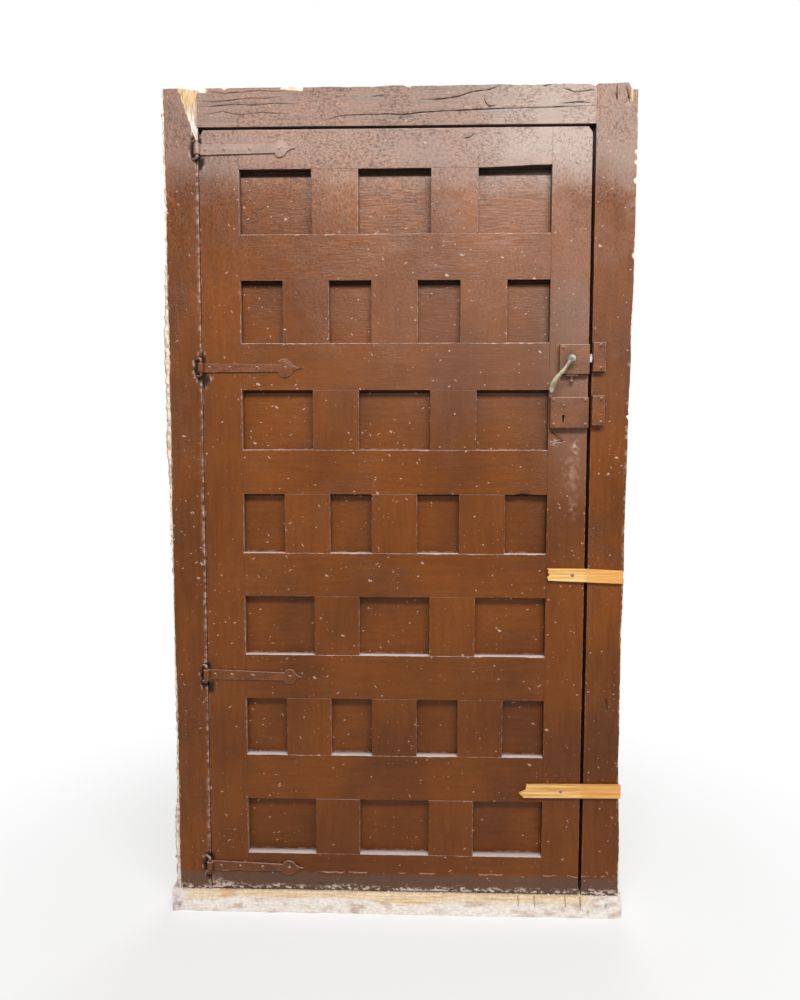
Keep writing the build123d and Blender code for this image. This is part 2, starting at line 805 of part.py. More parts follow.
with BuildPart() as latch_bolt:
    block(
        nose_x0,
        nose_x1,
        bolt_y - latch_bolt_thickness / 2,
        bolt_y + latch_bolt_thickness / 2,
        bolt_z - bolt_half,
        bolt_z + bolt_half,
    )
    chamfer(latch_bolt.faces().sort_by(Axis.X)[-1].edges(), bolt_nose_chamfer)
    with BuildSketch(front_at(hub_x, tail_y + tail_thickness, hub_z)):
        with BuildLine():
            Polyline(
                (tail_back_x - hub_x, fork_half + tail_fork_rim),
                (-pin_swing - slot_half - tail_slot_rim, tail_top - hub_z),
                (-pin_swing + slot_half + tail_slot_rim, tail_top - hub_z),
                (nose_x0 - hub_x, bolt_half + latch_bolt_rise),
                (nose_x0 - hub_x, -bolt_half + latch_bolt_rise),
                (tail_back_x - hub_x, -bolt_half + latch_bolt_rise),
                (tail_back_x - hub_x, -fork_half),
                (fork_half, -fork_half),
                (fork_half, fork_half),
                (tail_back_x - hub_x, fork_half),
                close=True,
            )
        make_face()
        with Locations((-pin_swing, (pin_low + cam_radius) / 2)):
            Rectangle(2 * slot_half, cam_radius - pin_low + 2 * slot_half, mode=Mode.SUBTRACT)
    extrude(amount=tail_thickness)
save(latch_bolt, "latch_bolt")

spindle_back_y = plate_front_y - bolt_slack
cam_pin_back_y = tail_y + tail_thickness + cam_pin_overhang
with BuildPart() as latch_cam:
    pin_place = (-pin_swing, pin_low)
    with BuildSketch(front_at(hub_x, cam_y + cam_thickness, hub_z)):
        Circle(cam_hub_radius)
        SlotCenterPoint((-pin_swing / 2, pin_low / 2), pin_place, cam_arm_width)
        Rectangle(spindle_square, spindle_square, mode=Mode.SUBTRACT)
    extrude(amount=cam_thickness)
    with BuildSketch(front_at(hub_x, cam_pin_back_y, hub_z)):
        with Locations(pin_place):
            Circle(cam_pin_radius)
    extrude(amount=cam_pin_back_y - cam_y - cam_thickness)
save(latch_cam, "latch_cam")

# Lever: across, down, half-width and half-depth of its sections from the spindle to the tip
lever_sections = (
    (0.0, 0.0, 5.6, 4.0),
    (-6.0, -8.5, 5.4, 4.2),
    (-14.8, -21.1, 4.8, 4.2),
    (-25.1, -33.7, 5.2, 4.0),
    (-36.2, -46.8, 6.1, 4.0),
    (-44.0, -59.5, 7.0, 3.9),
    (-47.8, -71.8, 6.6, 3.4),
    (-48.2, -82.5, 2.8, 2.2),
)
lever_y = case_front_y - lever_standoff

with BuildPart() as handle:
    for index, (across, down, half_width, half_depth) in enumerate(lever_sections):
        before = lever_sections[max(index - 1, 0)]
        after = lever_sections[min(index + 1, len(lever_sections) - 1)]
        along = Vector(after[0] - before[0], 0, after[1] - before[1])
        place = Plane(
            origin=(hub_x + across, lever_y, hub_z + down), x_dir=along.cross(Vector(0, 1, 0)), z_dir=along
        )
        with BuildSketch(place):
            Ellipse(half_width, half_depth)
    loft()
    with BuildSketch(Plane(origin=(hub_x, lever_y, hub_z), x_dir=(1, 0, 0), z_dir=(0, 0, 1))):
        with Locations((lever_boss_radius / 2, 0)):
            boss = Rectangle(lever_boss_radius, 2 * lever_boss_half)
        fillet(boss.vertices().group_by(Axis.X)[-1], lever_boss_round)
    revolve(axis=Axis((hub_x, lever_y, hub_z), (0, 1, 0)))
    with Locations((hub_x, lever_y - lever_boss_half + rivet_radius - rivet_proud, hub_z)):
        Sphere(rivet_radius)
    with BuildSketch(front_at(hub_x, case_front_y + case_wall, hub_z)):
        Circle(spindle_radius)
    extrude(amount=case_wall + lever_standoff)
    with BuildSketch(front_at(hub_x, case_front_y - bolt_slack, hub_z)):
        Circle(rose_radius)
    extrude(amount=rose_height, taper=20)
    with BuildSketch(front_at(hub_x, spindle_back_y, hub_z)):
        Rectangle(spindle_square, spindle_square)
    extrude(amount=spindle_back_y - case_front_y - case_wall)
    with BuildSketch(front_at(hub_x, face_y - bolt_slack, hub_z)):
        Circle(spindle_stub_radius)
    extrude(amount=face_y - bolt_slack - spindle_back_y)
save(handle, "handle")

snib_head_z = latch_z0 + case_wall + bolt_slack
snib_knob_z = latch_z0 - snib_knob_drop
with BuildPart() as snib:
    block(
        snib_x - snib_length / 2,
        snib_x + snib_length / 2,
        snib_y - snib_width / 2,
        snib_y + snib_width / 2,
        snib_plate_top - snib_thickness,
        snib_plate_top,
    )
    block(
        snib_x - snib_neck_length / 2,
        snib_x + snib_neck_length / 2,
        snib_y - snib_neck_width / 2,
        snib_y + snib_neck_width / 2,
        snib_plate_top,
        snib_head_z,
    )
    block(
        snib_x - snib_head_length / 2,
        snib_x + snib_head_length / 2,
        snib_y - snib_width / 2,
        snib_y + snib_width / 2,
        snib_head_z,
        snib_head_z + snib_head_thickness,
    )
    with Locations((snib_x, snib_y, snib_knob_z)):
        Sphere(snib_knob_radius)
        Cylinder(
            snib_stem_radius,
            snib_plate_top - snib_thickness - snib_knob_z,
            align=(Align.CENTER, Align.CENTER, Align.MIN),
        )
save(snib, "snib")

# Lower lock
key_x = leaf_x1 - key_from_edge
key_z = lock_z0 + key_above_bottom
dead_bolt_z0 = lock_z0 + dead_bolt_above_bottom
dead_bolt_z1 = dead_bolt_z0 + dead_bolt_height
dead_bolt_z = (dead_bolt_z0 + dead_bolt_z1) / 2
dead_bolt_y = (case_front_y + case_wall + plate_front_y) / 2
dead_bolt_x1 = leaf_x1 - bolt_slack
dead_bolt_x0 = dead_bolt_x1 - dead_bolt_length
guide_x = leaf_x1 - guide_pin_from_edge

with BuildPart() as lock_plate:
    block(lock_x0, leaf_x1, plate_front_y, face_y, lock_z0, lock_z1)
    screw_holes(lock_screws_at, plate_front_y, plate_thickness)
save(lock_plate, "lock_plate")

with BuildPart() as lock_case:
    add(rim_case(lock_x0, lock_z0, lock_z1))
    block(
        leaf_x1 - 2 * case_wall,
        leaf_x1,
        dead_bolt_y - dead_bolt_thickness / 2 - bolt_slack,
        dead_bolt_y + dead_bolt_thickness / 2 + bolt_slack,
        dead_bolt_z0 - bolt_slack,
        dead_bolt_z1 + bolt_slack,
        Mode.SUBTRACT,
    )
    with BuildSketch(front_at(key_x, case_front_y + 2 * case_wall, key_z)):
        Circle(keyhole_radius)
        with Locations((0, -keyhole_length / 2 + keyhole_radius / 2)):
            Rectangle(keyhole_slot_width, keyhole_length - keyhole_radius)
    extrude(amount=3 * case_wall, mode=Mode.SUBTRACT)
    screw_holes(lock_screws_at, case_front_y, case_wall)
    screw_holes([(guide_x, dead_bolt_z)], case_front_y, case_wall)
save(lock_case, "lock_case")

lock_screws = round_screws(latch_screws_at + lock_screws_at, case_front_y, screw_tip_y)
save(lock_screws, "lock_screws")

# The dead bolt slides on its guide pin, and the key's bit pushes it by the notch in its lug
guide_slot_half = guide_pin_radius + bolt_slack
lug_half = 18.0
lug_drop = 10.0
lug_slant = 3.0
notch_half = 7.0
notch_depth = 9.0
with BuildPart() as dead_bolt:
    with BuildSketch(front_at(0, dead_bolt_y + dead_bolt_thickness / 2, 0)):
        with BuildLine():
            Polyline(
                (dead_bolt_x0, dead_bolt_z1),
                (dead_bolt_x1, dead_bolt_z1),
                (dead_bolt_x1, dead_bolt_z0),
                (key_x + lug_half, dead_bolt_z0),
                (key_x + lug_half - lug_slant, dead_bolt_z0 - lug_drop),
                (key_x + notch_half, dead_bolt_z0 - lug_drop),
                (key_x + notch_half, dead_bolt_z0 - lug_drop + notch_depth),
                (key_x - notch_half, dead_bolt_z0 - lug_drop + notch_depth),
                (key_x - notch_half, dead_bolt_z0 - lug_drop),
                (key_x - lug_half + lug_slant, dead_bolt_z0 - lug_drop),
                (key_x - lug_half, dead_bolt_z0),
                (dead_bolt_x0, dead_bolt_z0),
                close=True,
            )
        make_face()
        with Locations((guide_x - dead_bolt_travel / 2, dead_bolt_z)):
            SlotOverall(dead_bolt_travel + 2 * guide_slot_half, 2 * guide_slot_half, mode=Mode.SUBTRACT)
    extrude(amount=dead_bolt_thickness)
save(dead_bolt, "dead_bolt")

with BuildPart() as lock_guide_pin:
    with BuildSketch(front_at(guide_x, plate_front_y, dead_bolt_z)):
        Circle(guide_pin_radius)
    extrude(amount=plate_front_y - case_front_y - case_wall)
    with BuildSketch(front_at(guide_x, case_front_y + case_wall, dead_bolt_z)):
        Circle(screw_radius)
    extrude(amount=case_wall)
    with BuildSketch(Plane(origin=(guide_x, case_front_y, dead_bolt_z), x_dir=(1, 0, 0), z_dir=(0, 0, 1))):
        with BuildLine():
            TangentArc((0, -guide_head_height), (guide_head_radius, 0), tangent=(1, 0))
            Polyline((guide_head_radius, 0), (0, 0), (0, -guide_head_height))
        make_face()
    revolve(axis=Axis((guide_x, case_front_y, dead_bolt_z), (0, 1, 0)))
save(lock_guide_pin, "lock_guide_pin")

# A bowed leaf spring between the case's top and the bolt keeps the bolt where the key leaves it
spring_top = lock_z1 - case_wall
spring_middle_x = (dead_bolt_x0 + dead_bolt_x1) / 2
with BuildPart() as lock_spring:
    with BuildSketch(front_at(spring_middle_x, dead_bolt_y + dead_bolt_thickness / 2, 0)):
        with BuildLine():
            half = lock_spring_length / 2
            low = dead_bolt_z1 + bolt_slack
            ThreePointArc((-half, spring_top), (0, low), (half, spring_top))
            Line((half, spring_top), (half - lock_spring_thickness * 2, spring_top))
            ThreePointArc(
                (half - lock_spring_thickness * 2, spring_top),
                (0, low + lock_spring_thickness),
                (lock_spring_thickness * 2 - half, spring_top),
            )
            Line((lock_spring_thickness * 2 - half, spring_top), (-half, spring_top))
        make_face()
    extrude(amount=dead_bolt_thickness)
save(lock_spring, "lock_spring")

# Laths: raw, split ends, as they were broken off; across from the leaf's edge and up from the lath's middle
upper_batten_x1 = right_outer_x - upper_batten_short_of_jamb - leaf_x1
lower_batten_x1 = right_outer_x + lower_batten_past_jamb - leaf_x1
upper_batten_outline = (
    (-95.0, 18.5),
    (-89.5, 15.0),
    (-93.0, 10.5),
    (-88.0, 2.5),
    (-94.0, -4.0),
    (-90.5, -11.5),
    (upper_batten_x1 - 0.5, -18.5),
    (upper_batten_x1, 14.0),
    (2.0, 18.0),
)
lower_batten_outline = (
    (-138.0, 15.5),
    (-140.5, 1.0),
    (-156.0, -7.5),
    (-145.0, -18.0),
    (lower_batten_x1, -16.5),
    (lower_batten_x1, 18.0),
    (-19.0, 17.0),
)
battens = {
    "upper_batten": (upper_batten_z, upper_batten_outline),
    "lower_batten": (lower_batten_z, lower_batten_outline),
}
for name, (middle_z, outline) in battens.items():
    with BuildPart() as batten:
        with BuildSketch(front_at(leaf_x1, face_y, middle_z)):
            with BuildLine():
                Polyline(*outline, close=True)
            make_face()
        extrude(amount=batten_thickness)
        nail_holes(batten_nails_at, face_y - batten_thickness, batten_thickness)
    save(batten, name)

batten_nails = nails([front_at(x, face_y - batten_thickness, z) for x, z in batten_nails_at], nail_length)
save(batten_nails, "batten_nails")
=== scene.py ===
"""Dresses the panelled door: worn glossy paint on old timber, forged iron, raw laths, a whitewashed sill."""
import itertools
import math
from functools import partial, reduce

import bmesh
import bpy
import numpy as np
from mathutils import Matrix, Vector


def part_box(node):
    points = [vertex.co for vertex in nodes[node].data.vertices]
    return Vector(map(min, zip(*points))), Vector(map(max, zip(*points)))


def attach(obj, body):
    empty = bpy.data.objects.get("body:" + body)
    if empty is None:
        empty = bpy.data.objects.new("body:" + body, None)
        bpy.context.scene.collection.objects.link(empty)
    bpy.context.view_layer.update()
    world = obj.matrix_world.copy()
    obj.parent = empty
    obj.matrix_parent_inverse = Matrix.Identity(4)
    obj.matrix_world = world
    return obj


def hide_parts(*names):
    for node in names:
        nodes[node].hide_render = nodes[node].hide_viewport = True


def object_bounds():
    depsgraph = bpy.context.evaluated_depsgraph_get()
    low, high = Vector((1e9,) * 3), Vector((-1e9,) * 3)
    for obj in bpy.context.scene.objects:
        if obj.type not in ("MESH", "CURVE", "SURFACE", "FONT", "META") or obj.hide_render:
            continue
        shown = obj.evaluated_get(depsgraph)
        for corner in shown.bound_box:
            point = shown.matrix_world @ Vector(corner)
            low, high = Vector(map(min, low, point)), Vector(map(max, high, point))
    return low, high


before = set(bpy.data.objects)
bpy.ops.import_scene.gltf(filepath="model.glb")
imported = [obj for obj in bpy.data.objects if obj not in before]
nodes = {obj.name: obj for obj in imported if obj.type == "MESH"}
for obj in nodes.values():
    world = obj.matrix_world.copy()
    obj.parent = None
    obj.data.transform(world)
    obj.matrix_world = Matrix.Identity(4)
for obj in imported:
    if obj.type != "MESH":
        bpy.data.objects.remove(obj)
cad_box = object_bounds()

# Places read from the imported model
leaf_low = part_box("hinge_stile")[0]
leaf_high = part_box("lock_stile")[1]
face_y = leaf_low.y
field_x0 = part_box("hinge_stile")[1].x
field_x1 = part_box("lock_stile")[0].x
jamb_x0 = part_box("left_jamb")[0].x
jamb_x1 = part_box("right_jamb")[1].x
head_tenon, head_gap = 0.040, 0.007
left_inner_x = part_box("head_beam")[0].x + head_tenon
right_inner_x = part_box("head_beam")[1].x - head_tenon
frame_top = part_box("left_jamb")[1].z
sill_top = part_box("sill_board")[1].z
sill_face_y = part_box("sill_board")[0].y
head_low_z = leaf_high.z + head_gap


# Shaders


class Value:
    """What a shader node gives out. It adds, multiplies and fades as a number would."""

    def __init__(self, shader, socket):
        self.shader, self.socket = shader, socket

    def __add__(self, other):
        return self.shader.calc("ADD", self, other)

    def __mul__(self, other):
        return self.shader.calc("MULTIPLY", self, other)

    def beside(self, output):
        """Another output of the same node."""
        return Value(self.shader, self.socket.node.outputs[output])

    def level(self, start, end):
        """0 where the value is at start, 1 where it is at end."""
        inputs = {"Value": self, "From Min": start, "From Max": end}
        return self.shader.add("ShaderNodeMapRange", inputs, interpolation_type="SMOOTHSTEP")

    def between(self, low, high):
        """A number that goes from low to high as the value goes from 0 to 1."""
        return self * (high - low) + low

    def window(self, start, full, last, end):
        """1 from full to last, fading to 0 at start and end."""
        return self.level(start, full) * self.level(end, last)


class Shader:
    """One material's node tree, built with short calls. Colours are linear and sizes are in metres."""

    def __init__(self, name, **sockets):
        self.material = bpy.data.materials.new(name)
        self.material.use_nodes = True
        self.tree = self.material.node_tree
        self.surface = self.tree.nodes["Principled BSDF"]
        for socket, value in sockets.items():
            self.surface.inputs[socket.replace("_", " ")].default_value = value
        self.place = self.add("ShaderNodeTexCoord", output="Object")
        self.normal = self.place.beside("Normal")

    def put(self, value, socket):
        """Give an input a plain value, or link another node's output to it."""
        if isinstance(value, Value):
            self.tree.links.new(value.socket, socket)
        else:
            socket.default_value = value

    def add(self, kind, inputs=None, output=0, **settings):
        """A new node, with its inputs filled. Gives one of its outputs."""
        node = self.tree.nodes.new(kind)
        for key, value in settings.items():
            setattr(node, key, value)
        for name, value in (inputs or {}).items():
            self.put(value, node.inputs[name])
        return Value(self, node.outputs[output])

    def part(self, vector, axis):
        return self.add("ShaderNodeSeparateXYZ", {"Vector": vector}, axis)

    def scaled(self, size, stretch, shift=0.0, turn=0.0):
        """Coordinates in lumps of this size, drawn out along the stretched directions, turned about Y."""
        place = self.place
        if turn:
            inputs = {"Vector": place, "Angle": turn}
            place = self.add("ShaderNodeVectorRotate", inputs, rotation_type="Y_AXIS")
        scale = [1 / (size * factor) for factor in stretch]
        return self.add("ShaderNodeMapping", {"Vector": place, "Scale": scale, "Location": [shift] * 3})

    def noise(self, size, stretch=(1, 1, 1), detail=3.0, shift=0.0, distortion=0.0, harsh=0.5):
        inputs = {
            "Vector": self.scaled(size, stretch, shift),
            "Scale": 1.0,
            "Detail": detail,
            "Roughness": harsh,
            "Distortion": distortion,
        }
        return self.add("ShaderNodeTexNoise", inputs)

    def specks(self, spacing, radius, share, stretch=(1, 1, 1), shift=0.0, turn=0.0):
        """Ragged spots of this radius on every face: a share of the cells of this spacing hold one."""
        ragged = {"Vector": self.place, "Scale": 1 / (1.6 * radius), "Detail": 2.0}
        wobble = {0: self.add("ShaderNodeTexNoise", ragged, "Color"), "Scale": 2.2 * radius / spacing}
        wobble = self.add("ShaderNodeVectorMath", wobble, operation="SCALE")
        place = self.scaled(spacing, stretch, shift, turn)
        x, depth, z = (self.part(place, axis) for axis in "XYZ")
        flat = self.add("ShaderNodeCombineXYZ", {0: x + depth * 0.9, 1: z + depth * 0.45})
        moved = self.add("ShaderNodeVectorMath", {0: flat, 1: wobble}, operation="ADD")
        cells = {"Vector": moved, "Scale": 1.0}
        distance = self.add("ShaderNodeTexVoronoi", cells, "Distance", voronoi_dimensions="2D")
        chosen = self.add("ShaderNodeSeparateColor", {"Color": distance.beside("Color")}, "Red")
        near = distance.level(radius / spacing, 0.5 * radius / spacing)
        crowd = self.noise(0.11, detail=2.0, shift=30.0).level(0.34, 0.66).between(0.25, 1.75) * share
        return near * self.calc("LESS_THAN", chosen, crowd)

    def calc(self, operation, a, b):
        return self.add("ShaderNodeMath", {0: a, 1: b}, operation=operation)

    def most(self, *values):
        return reduce(partial(self.calc, "MAXIMUM"), values)

    def mix(self, a, b, share, blend_type="MIX"):
        """The first colour, with this share of the second over it."""
        node = self.tree.nodes.new("ShaderNodeMix")
        node.data_type, node.blend_type = "RGBA", blend_type
        inputs = [socket for socket in node.inputs if socket.enabled]
        for value, socket in zip((share, a, b), inputs):
            self.put((*value, 1.0) if isinstance(value, tuple) else value, socket)
        return Value(self, next(socket for socket in node.outputs if socket.enabled))

    def shade(self, colour, value, low, high):
        """The colour made darker or lighter by a value from 0 to 1."""
        span = value.level(0.3, 0.7).between(low, high)
        grey = self.add("ShaderNodeCombineColor", {"Red": span, "Green": span, "Blue": span})
        return self.mix(colour, grey, 1.0, "MULTIPLY")

    def attribute(self, name):
        return self.add("ShaderNodeAttribute", output="Fac", attribute_name=name)

    def height(self):
        """How high a point lies above the floor."""
        return self.part(self.place, "Z")

    def across(self):
        return self.part(self.place, "X")

    def facing(self, axis, start, end):
        """1 on faces whose normal, along this axis, reaches the end value, and 0 below the start value."""
        return self.part(self.normal, axis).level(start, end)

    def upward(self):
        return self.facing("Z", 0.35, 0.8)

    def downward(self):
        return self.facing("Z", -0.45, -0.85)

    def rounded_edges(self, radius):
        """1 along the edges of a piece, 0 on its faces."""
        soft = self.add("ShaderNodeBevel", {"Radius": radius}, samples=6)
        true = self.add("ShaderNodeNewGeometry", output="True Normal")
        same = self.add("ShaderNodeVectorMath", {0: soft, 1: true}, "Value", operation="DOT_PRODUCT")
        return same.level(0.985, 0.90)

    def bumps(self, *layers):
        """Raise the surface by several layers, each a value from 0 to 1 and its height in metres."""
        below = {}
        for value, height in layers:
            inputs = {"Height": value, "Distance": height, "Strength": 1.0, **below}
            below = {"Normal": self.add("ShaderNodeBump", inputs)}
        self.put(below["Normal"], self.surface.inputs["Normal"])

    def finish(self, colour, roughness=None):
        self.put(colour, self.surface.inputs["Base Color"])
        if roughness is not None:
            self.put(roughness, self.surface.inputs["Roughness"])
        return self.material


paint_dark = (0.118, 0.033, 0.0050)
paint_warm = (0.185, 0.052, 0.0062)
paint_pale = (0.60, 0.42, 0.34)
painted_sheen_colour = (0.52, 0.44, 0.39)
dust_and_light_pale = (0.80, 0.71, 0.70)
dust_grey = (0.125, 0.082, 0.062)
crack_and_shade_dark = (0.022, 0.011, 0.007)
lit_paint = (0.52, 0.41, 0.37)
raw_wood = (0.66, 0.47, 0.27)
raw_wood_dark = (0.40, 0.24, 0.12)
plaster_pale = (0.78, 0.68, 0.58)

# Heights above the floor, and places across the door, where the paint changes and where painted sheen and
# glints lie
sheen_heights = (1.88, 2.03)
sheen_right = (0.09, 0.40)
sheen_haze_heights = (1.15, 1.45, 1.88, 1.98)
sheen_haze_across = (-0.50, 0.40)
lock_sheen_heights = (1.06, 1.30, 1.62, 1.84)
lock_sheen_across = (0.33, 0.43)
glint_heights = (1.50, 2.0)
soot_heights = (0.128, 0.114)
tide_heights = (0.1265, 0.1285, 0.1295, 0.1315)
crust_heights = (0.096, 0.082)
fresh_wood_heights = (frame_top - 0.085, frame_top - 0.030)
joint = 0.002


def raw_timber(shader, grain):
    """Colour of bare old wood with its grain, greyed by lime a little below the frame's top."""
    lines = shader.noise(0.004, grain, detail=5.0, distortion=0.6)
    fresh = shader.mix(raw_wood_dark, raw_wood, lines.level(0.30, 0.58))
    limed = shader.mix((0.40, 0.33, 0.28), (0.78, 0.70, 0.62), lines.level(0.34, 0.60))
    return shader.mix(limed, fresh, shader.height().level(*fresh_wood_heights))


def painted_sheen_amount(shader):
    """How much painted sheen lies on the gloss: in specks over the top, most at the right, and a weaker spread
    lower down.
    """
    cloud = shader.noise(0.12, detail=4.0, shift=15.0)
    high = shader.height() + cloud * 0.14
    across = shader.across()
    right = across.window(*sheen_right, right_inner_x - 0.003, right_inner_x + joint)
    left_jamb_share = across.level(left_inner_x + joint, left_inner_x - joint)
    right_jamb_share = across.level(right_inner_x - joint, right_inner_x + joint)
    amount = right * 0.35 + 0.35 + left_jamb_share * -0.13 + right_jamb_share * 0.06
    top = high.level(*sheen_heights) * amount
    # Painted sheen beside the lock, and a weaker painted sheen across the upper middle
    beside_lock = across.window(*lock_sheen_across, right_inner_x - 0.006, right_inner_x)
    lock = high.window(*lock_sheen_heights) * beside_lock * cloud.level(0.24, 0.52)
    sheen_haze = shader.height().window(*sheen_haze_heights) * across.level(*sheen_haze_across)
    return top, sheen_haze * right_jamb_share.between(0.075, 0.035) + lock * 0.095


def pits_and_painted_sheen(shader, colour, grain, rough=1.0):
    """Painted sheen as a pale layer, and fine pits with painted glints. Gives the colour, the pits and the top
    sheen.
    """
    top_sheen, soft = painted_sheen_amount(shader)
    stretch = [1 + 0.05 * (length - 1) for length in grain]
    pits = shader.noise(0.0056, stretch, detail=7.0, shift=1.0, harsh=0.75)
    depth = shader.noise(0.075, detail=5.0, shift=21.0).level(0.38, 0.60)
    high = shader.height().level(*glint_heights)
    # Painted glints and pit shade: the pits made lighter and darker in colour, most high on the door
    glint_share = high * depth.between(0.18 * rough, 0.92 * rough) + 0.12 * rough
    glinted = shader.shade(colour, pits.level(0.32, 0.64), 0.45, 1.38)
    colour = shader.mix(colour, glinted, glint_share)
    # Painted sheen: a pale layer over the paint, broken up by the pits
    sheen_grain = pits.level(0.36, 0.58).between(-0.55 * rough, 0.22 * rough)
    sheen_grain = sheen_grain * depth.between(0.30, 1.0) + 1.0
    sheen_film = top_sheen * sheen_grain * depth.between(1.10, 0.94)
    sheen_film = shader.most(sheen_film, soft * (0.25 + 0.75 * rough))
    return shader.mix(colour, painted_sheen_colour, shader.calc("MINIMUM", sheen_film, 0.72)), pits, top_sheen


def soiled_foot(shader, colour, pits, grime):
    """Soot near the floor, a pale tide line over it, a crust of plaster below. Gives the soot's reach too."""
    drop = shader.height() + grime * 0.030
    low = drop.level(*soot_heights)
    soot = low * pits.level(0.34, 0.60).between(0.55, 1.0)
    colour = shader.mix(colour, dust_grey, soot * 0.80)
    tide = drop.window(*tide_heights) * grime.level(0.50, 0.58)
    colour = shader.mix(colour, paint_pale, tide * 0.55)
    crust = shader.noise(0.0065, (1.6, 1, 1), detail=5.0, shift=19.0).level(0.48, 0.56)
    return shader.mix(colour, plaster_pale, drop.level(*crust_heights) * crust * 0.75), low


def chipped(shader):
    """Small chips and short scratches all over, and the tiniest flecks apart from them."""
    tiny = shader.specks(0.012, 0.0014, 0.055, shift=11.0)
    small = shader.specks(0.023, 0.0023, 0.090, (1.3, 1.0, 0.9), turn=0.3)
    large = shader.specks(0.070, 0.0042, 0.10, (1.4, 1.0, 0.8), shift=5.0, turn=-0.5)
    scratches = shader.specks(0.018, 0.0016, 0.026, (3.6, 1.0, 1.0), shift=17.0, turn=0.55)
    crossing = shader.specks(0.018, 0.0016, 0.026, (3.2, 1.0, 1.0), shift=27.0, turn=-0.95)
    return shader.most(small, large, scratches, crossing), tiny


def painted(name, grain, relief, brush, streak, plaster=False):
    """Old brown gloss paint: brushed along the grain, pebbled, chipped; arrises worn and ledges dusted, both
    with painted light.
    """
    shader = Shader(name, Specular_IOR_Level=0.22)
    tone = shader.noise(0.21, (1, 1, 1.5), detail=4.0)
    streaks = shader.noise(0.010, grain, detail=4.0, shift=3.0)
    colour = shader.mix(paint_dark, paint_warm, tone.level(0.30, 0.70))
    colour = shader.shade(colour, streaks, 1.0 - streak, 1.0 + streak)
    grime = shader.noise(0.05, detail=5.0, shift=9.0)
    # Painted sheen and painted glints over the upper part of the door
    colour, pits, sheen_share = pits_and_painted_sheen(shader, colour, grain)
    colour, low = soiled_foot(shader, colour, pits, grime)

    chips, tiny = chipped(shader)
    # Pale arrises, scuffs and flecks: worn paint, with painted highlight on arrises that face the light
    worn = shader.attribute("wear") * shader.noise(0.014, detail=5.0, shift=7.0).level(0.42, 0.62)
    colour = shader.mix(colour, paint_pale, shader.most(chips * 0.72, tiny * 0.55, worn))
    # Painted light on faces turned towards +x, painted shade on faces turned towards -x and on all undersides
    colour = shader.mix(colour, lit_paint, shader.facing("X", 0.5, 0.9) * 0.42)
    dim_reveal = shader.facing("X", -0.5, -0.9) * 0.55
    colour = shader.mix(colour, crack_and_shade_dark, shader.most(dim_reveal, shader.downward() * 0.90))
    # Ledges: dust and painted light on every face that looks up
    ledge_dust_and_light = shader.upward() * 0.94
    colour = shader.mix(colour, dust_and_light_pale, ledge_dust_and_light)
    # Darkened in cracks, hollows and joints, and a painted shadow under each rail
    colour = shader.mix(colour, crack_and_shade_dark, shader.attribute("crevice"))

    bare_edge = shader.noise(0.008, grain, detail=4.0, shift=2.0)
    bare = (shader.attribute("raw") + bare_edge * 0.6).level(0.72, 0.86)
    colour = shader.mix(colour, raw_timber(shader, grain), bare)
    if plaster:
        lime = shader.noise(0.010, detail=4.0, shift=4.0)
        cover = (shader.attribute("plaster") + lime * 0.5).level(0.72, 0.82)
        lime_colour = shader.mix(raw_wood, plaster_pale, grime.level(0.36, 0.48))
        colour = shader.mix(colour, lime_colour, cover)
        bare = shader.most(bare, cover)

    patches = shader.noise(0.16, (1, 1, 1.6), detail=2.0, shift=12.0)
    rough_skin = shader.most(patches.level(0.44, 0.62), sheen_share.level(0.0, 0.45))
    ridges = shader.noise(0.0045, grain, detail=3.0, shift=6.0)
    waves = shader.noise(0.030, detail=2.0, shift=8.0)
    skin = (pits * rough_skin, 0.0026 * relief)
    shader.bumps((waves, 0.0018 * relief), skin, (ridges, 0.0010 * brush), (chips, 0.0006))
    matt = shader.most(ledge_dust_and_light, bare, low, shader.attribute("crevice"))
    gloss = shader.noise(0.04, detail=3.0) * 0.18 + 0.23
    return shader.finish(colour, gloss + matt * 0.45)


along_x = (9.0, 1.0, 1.0)
along_z = (1.0, 1.0, 9.0)
rail_paint = painted("rail_paint", along_x, relief=0.8, brush=0.5, streak=0.08)
stile_paint = painted("stile_paint", along_z, relief=0.8, brush=0.4, streak=0.08)
panel_paint = painted("panel_paint", (7.0, 1.0, 1.0), relief=0.6, brush=0.6, streak=0.08)
jamb_paint = painted("jamb_paint", along_z, relief=1.3, brush=0.6, streak=0.12, plaster=True)
head_paint = painted("head_paint", (12.0, 1.0, 1.0), relief=1.2, brush=2.0, streak=0.36, plaster=True)


def ironwork(name):
    """The same paint over forged or sheet iron, smoother, with pale worn edges."""
    shader = Shader(name, Specular_IOR_Level=0.35)
    tone = shader.noise(0.05, detail=4.0)
    colour = shader.mix(paint_dark, paint_warm, tone.level(0.3, 0.7))
    dents = shader.noise(0.012, detail=3.0)
    colour = shader.shade(colour, dents, 0.86, 1.10)
    # Painted sheen and painted glints, less than on the timber
    colour, _, _ = pits_and_painted_sheen(shader, colour, (1, 1, 1), rough=0.35)
    chips = shader.specks(0.014, 0.0012, 0.07) * 0.55
    edges = shader.rounded_edges(0.0013) * dents.level(0.34, 0.56) * 0.60
    colour = shader.mix(colour, paint_pale, shader.most(chips, edges))
    # Dust and painted light on tops, painted shade on undersides
    colour = shader.mix(colour, dust_and_light_pale, shader.upward() * 0.45)
    colour = shader.mix(colour, crack_and_shade_dark, shader.downward() * 0.85)
    shader.bumps((dents, 0.0012), (shader.noise(0.003, detail=2.0), 0.0004))
    return shader.finish(colour, tone * 0.25 + 0.23)


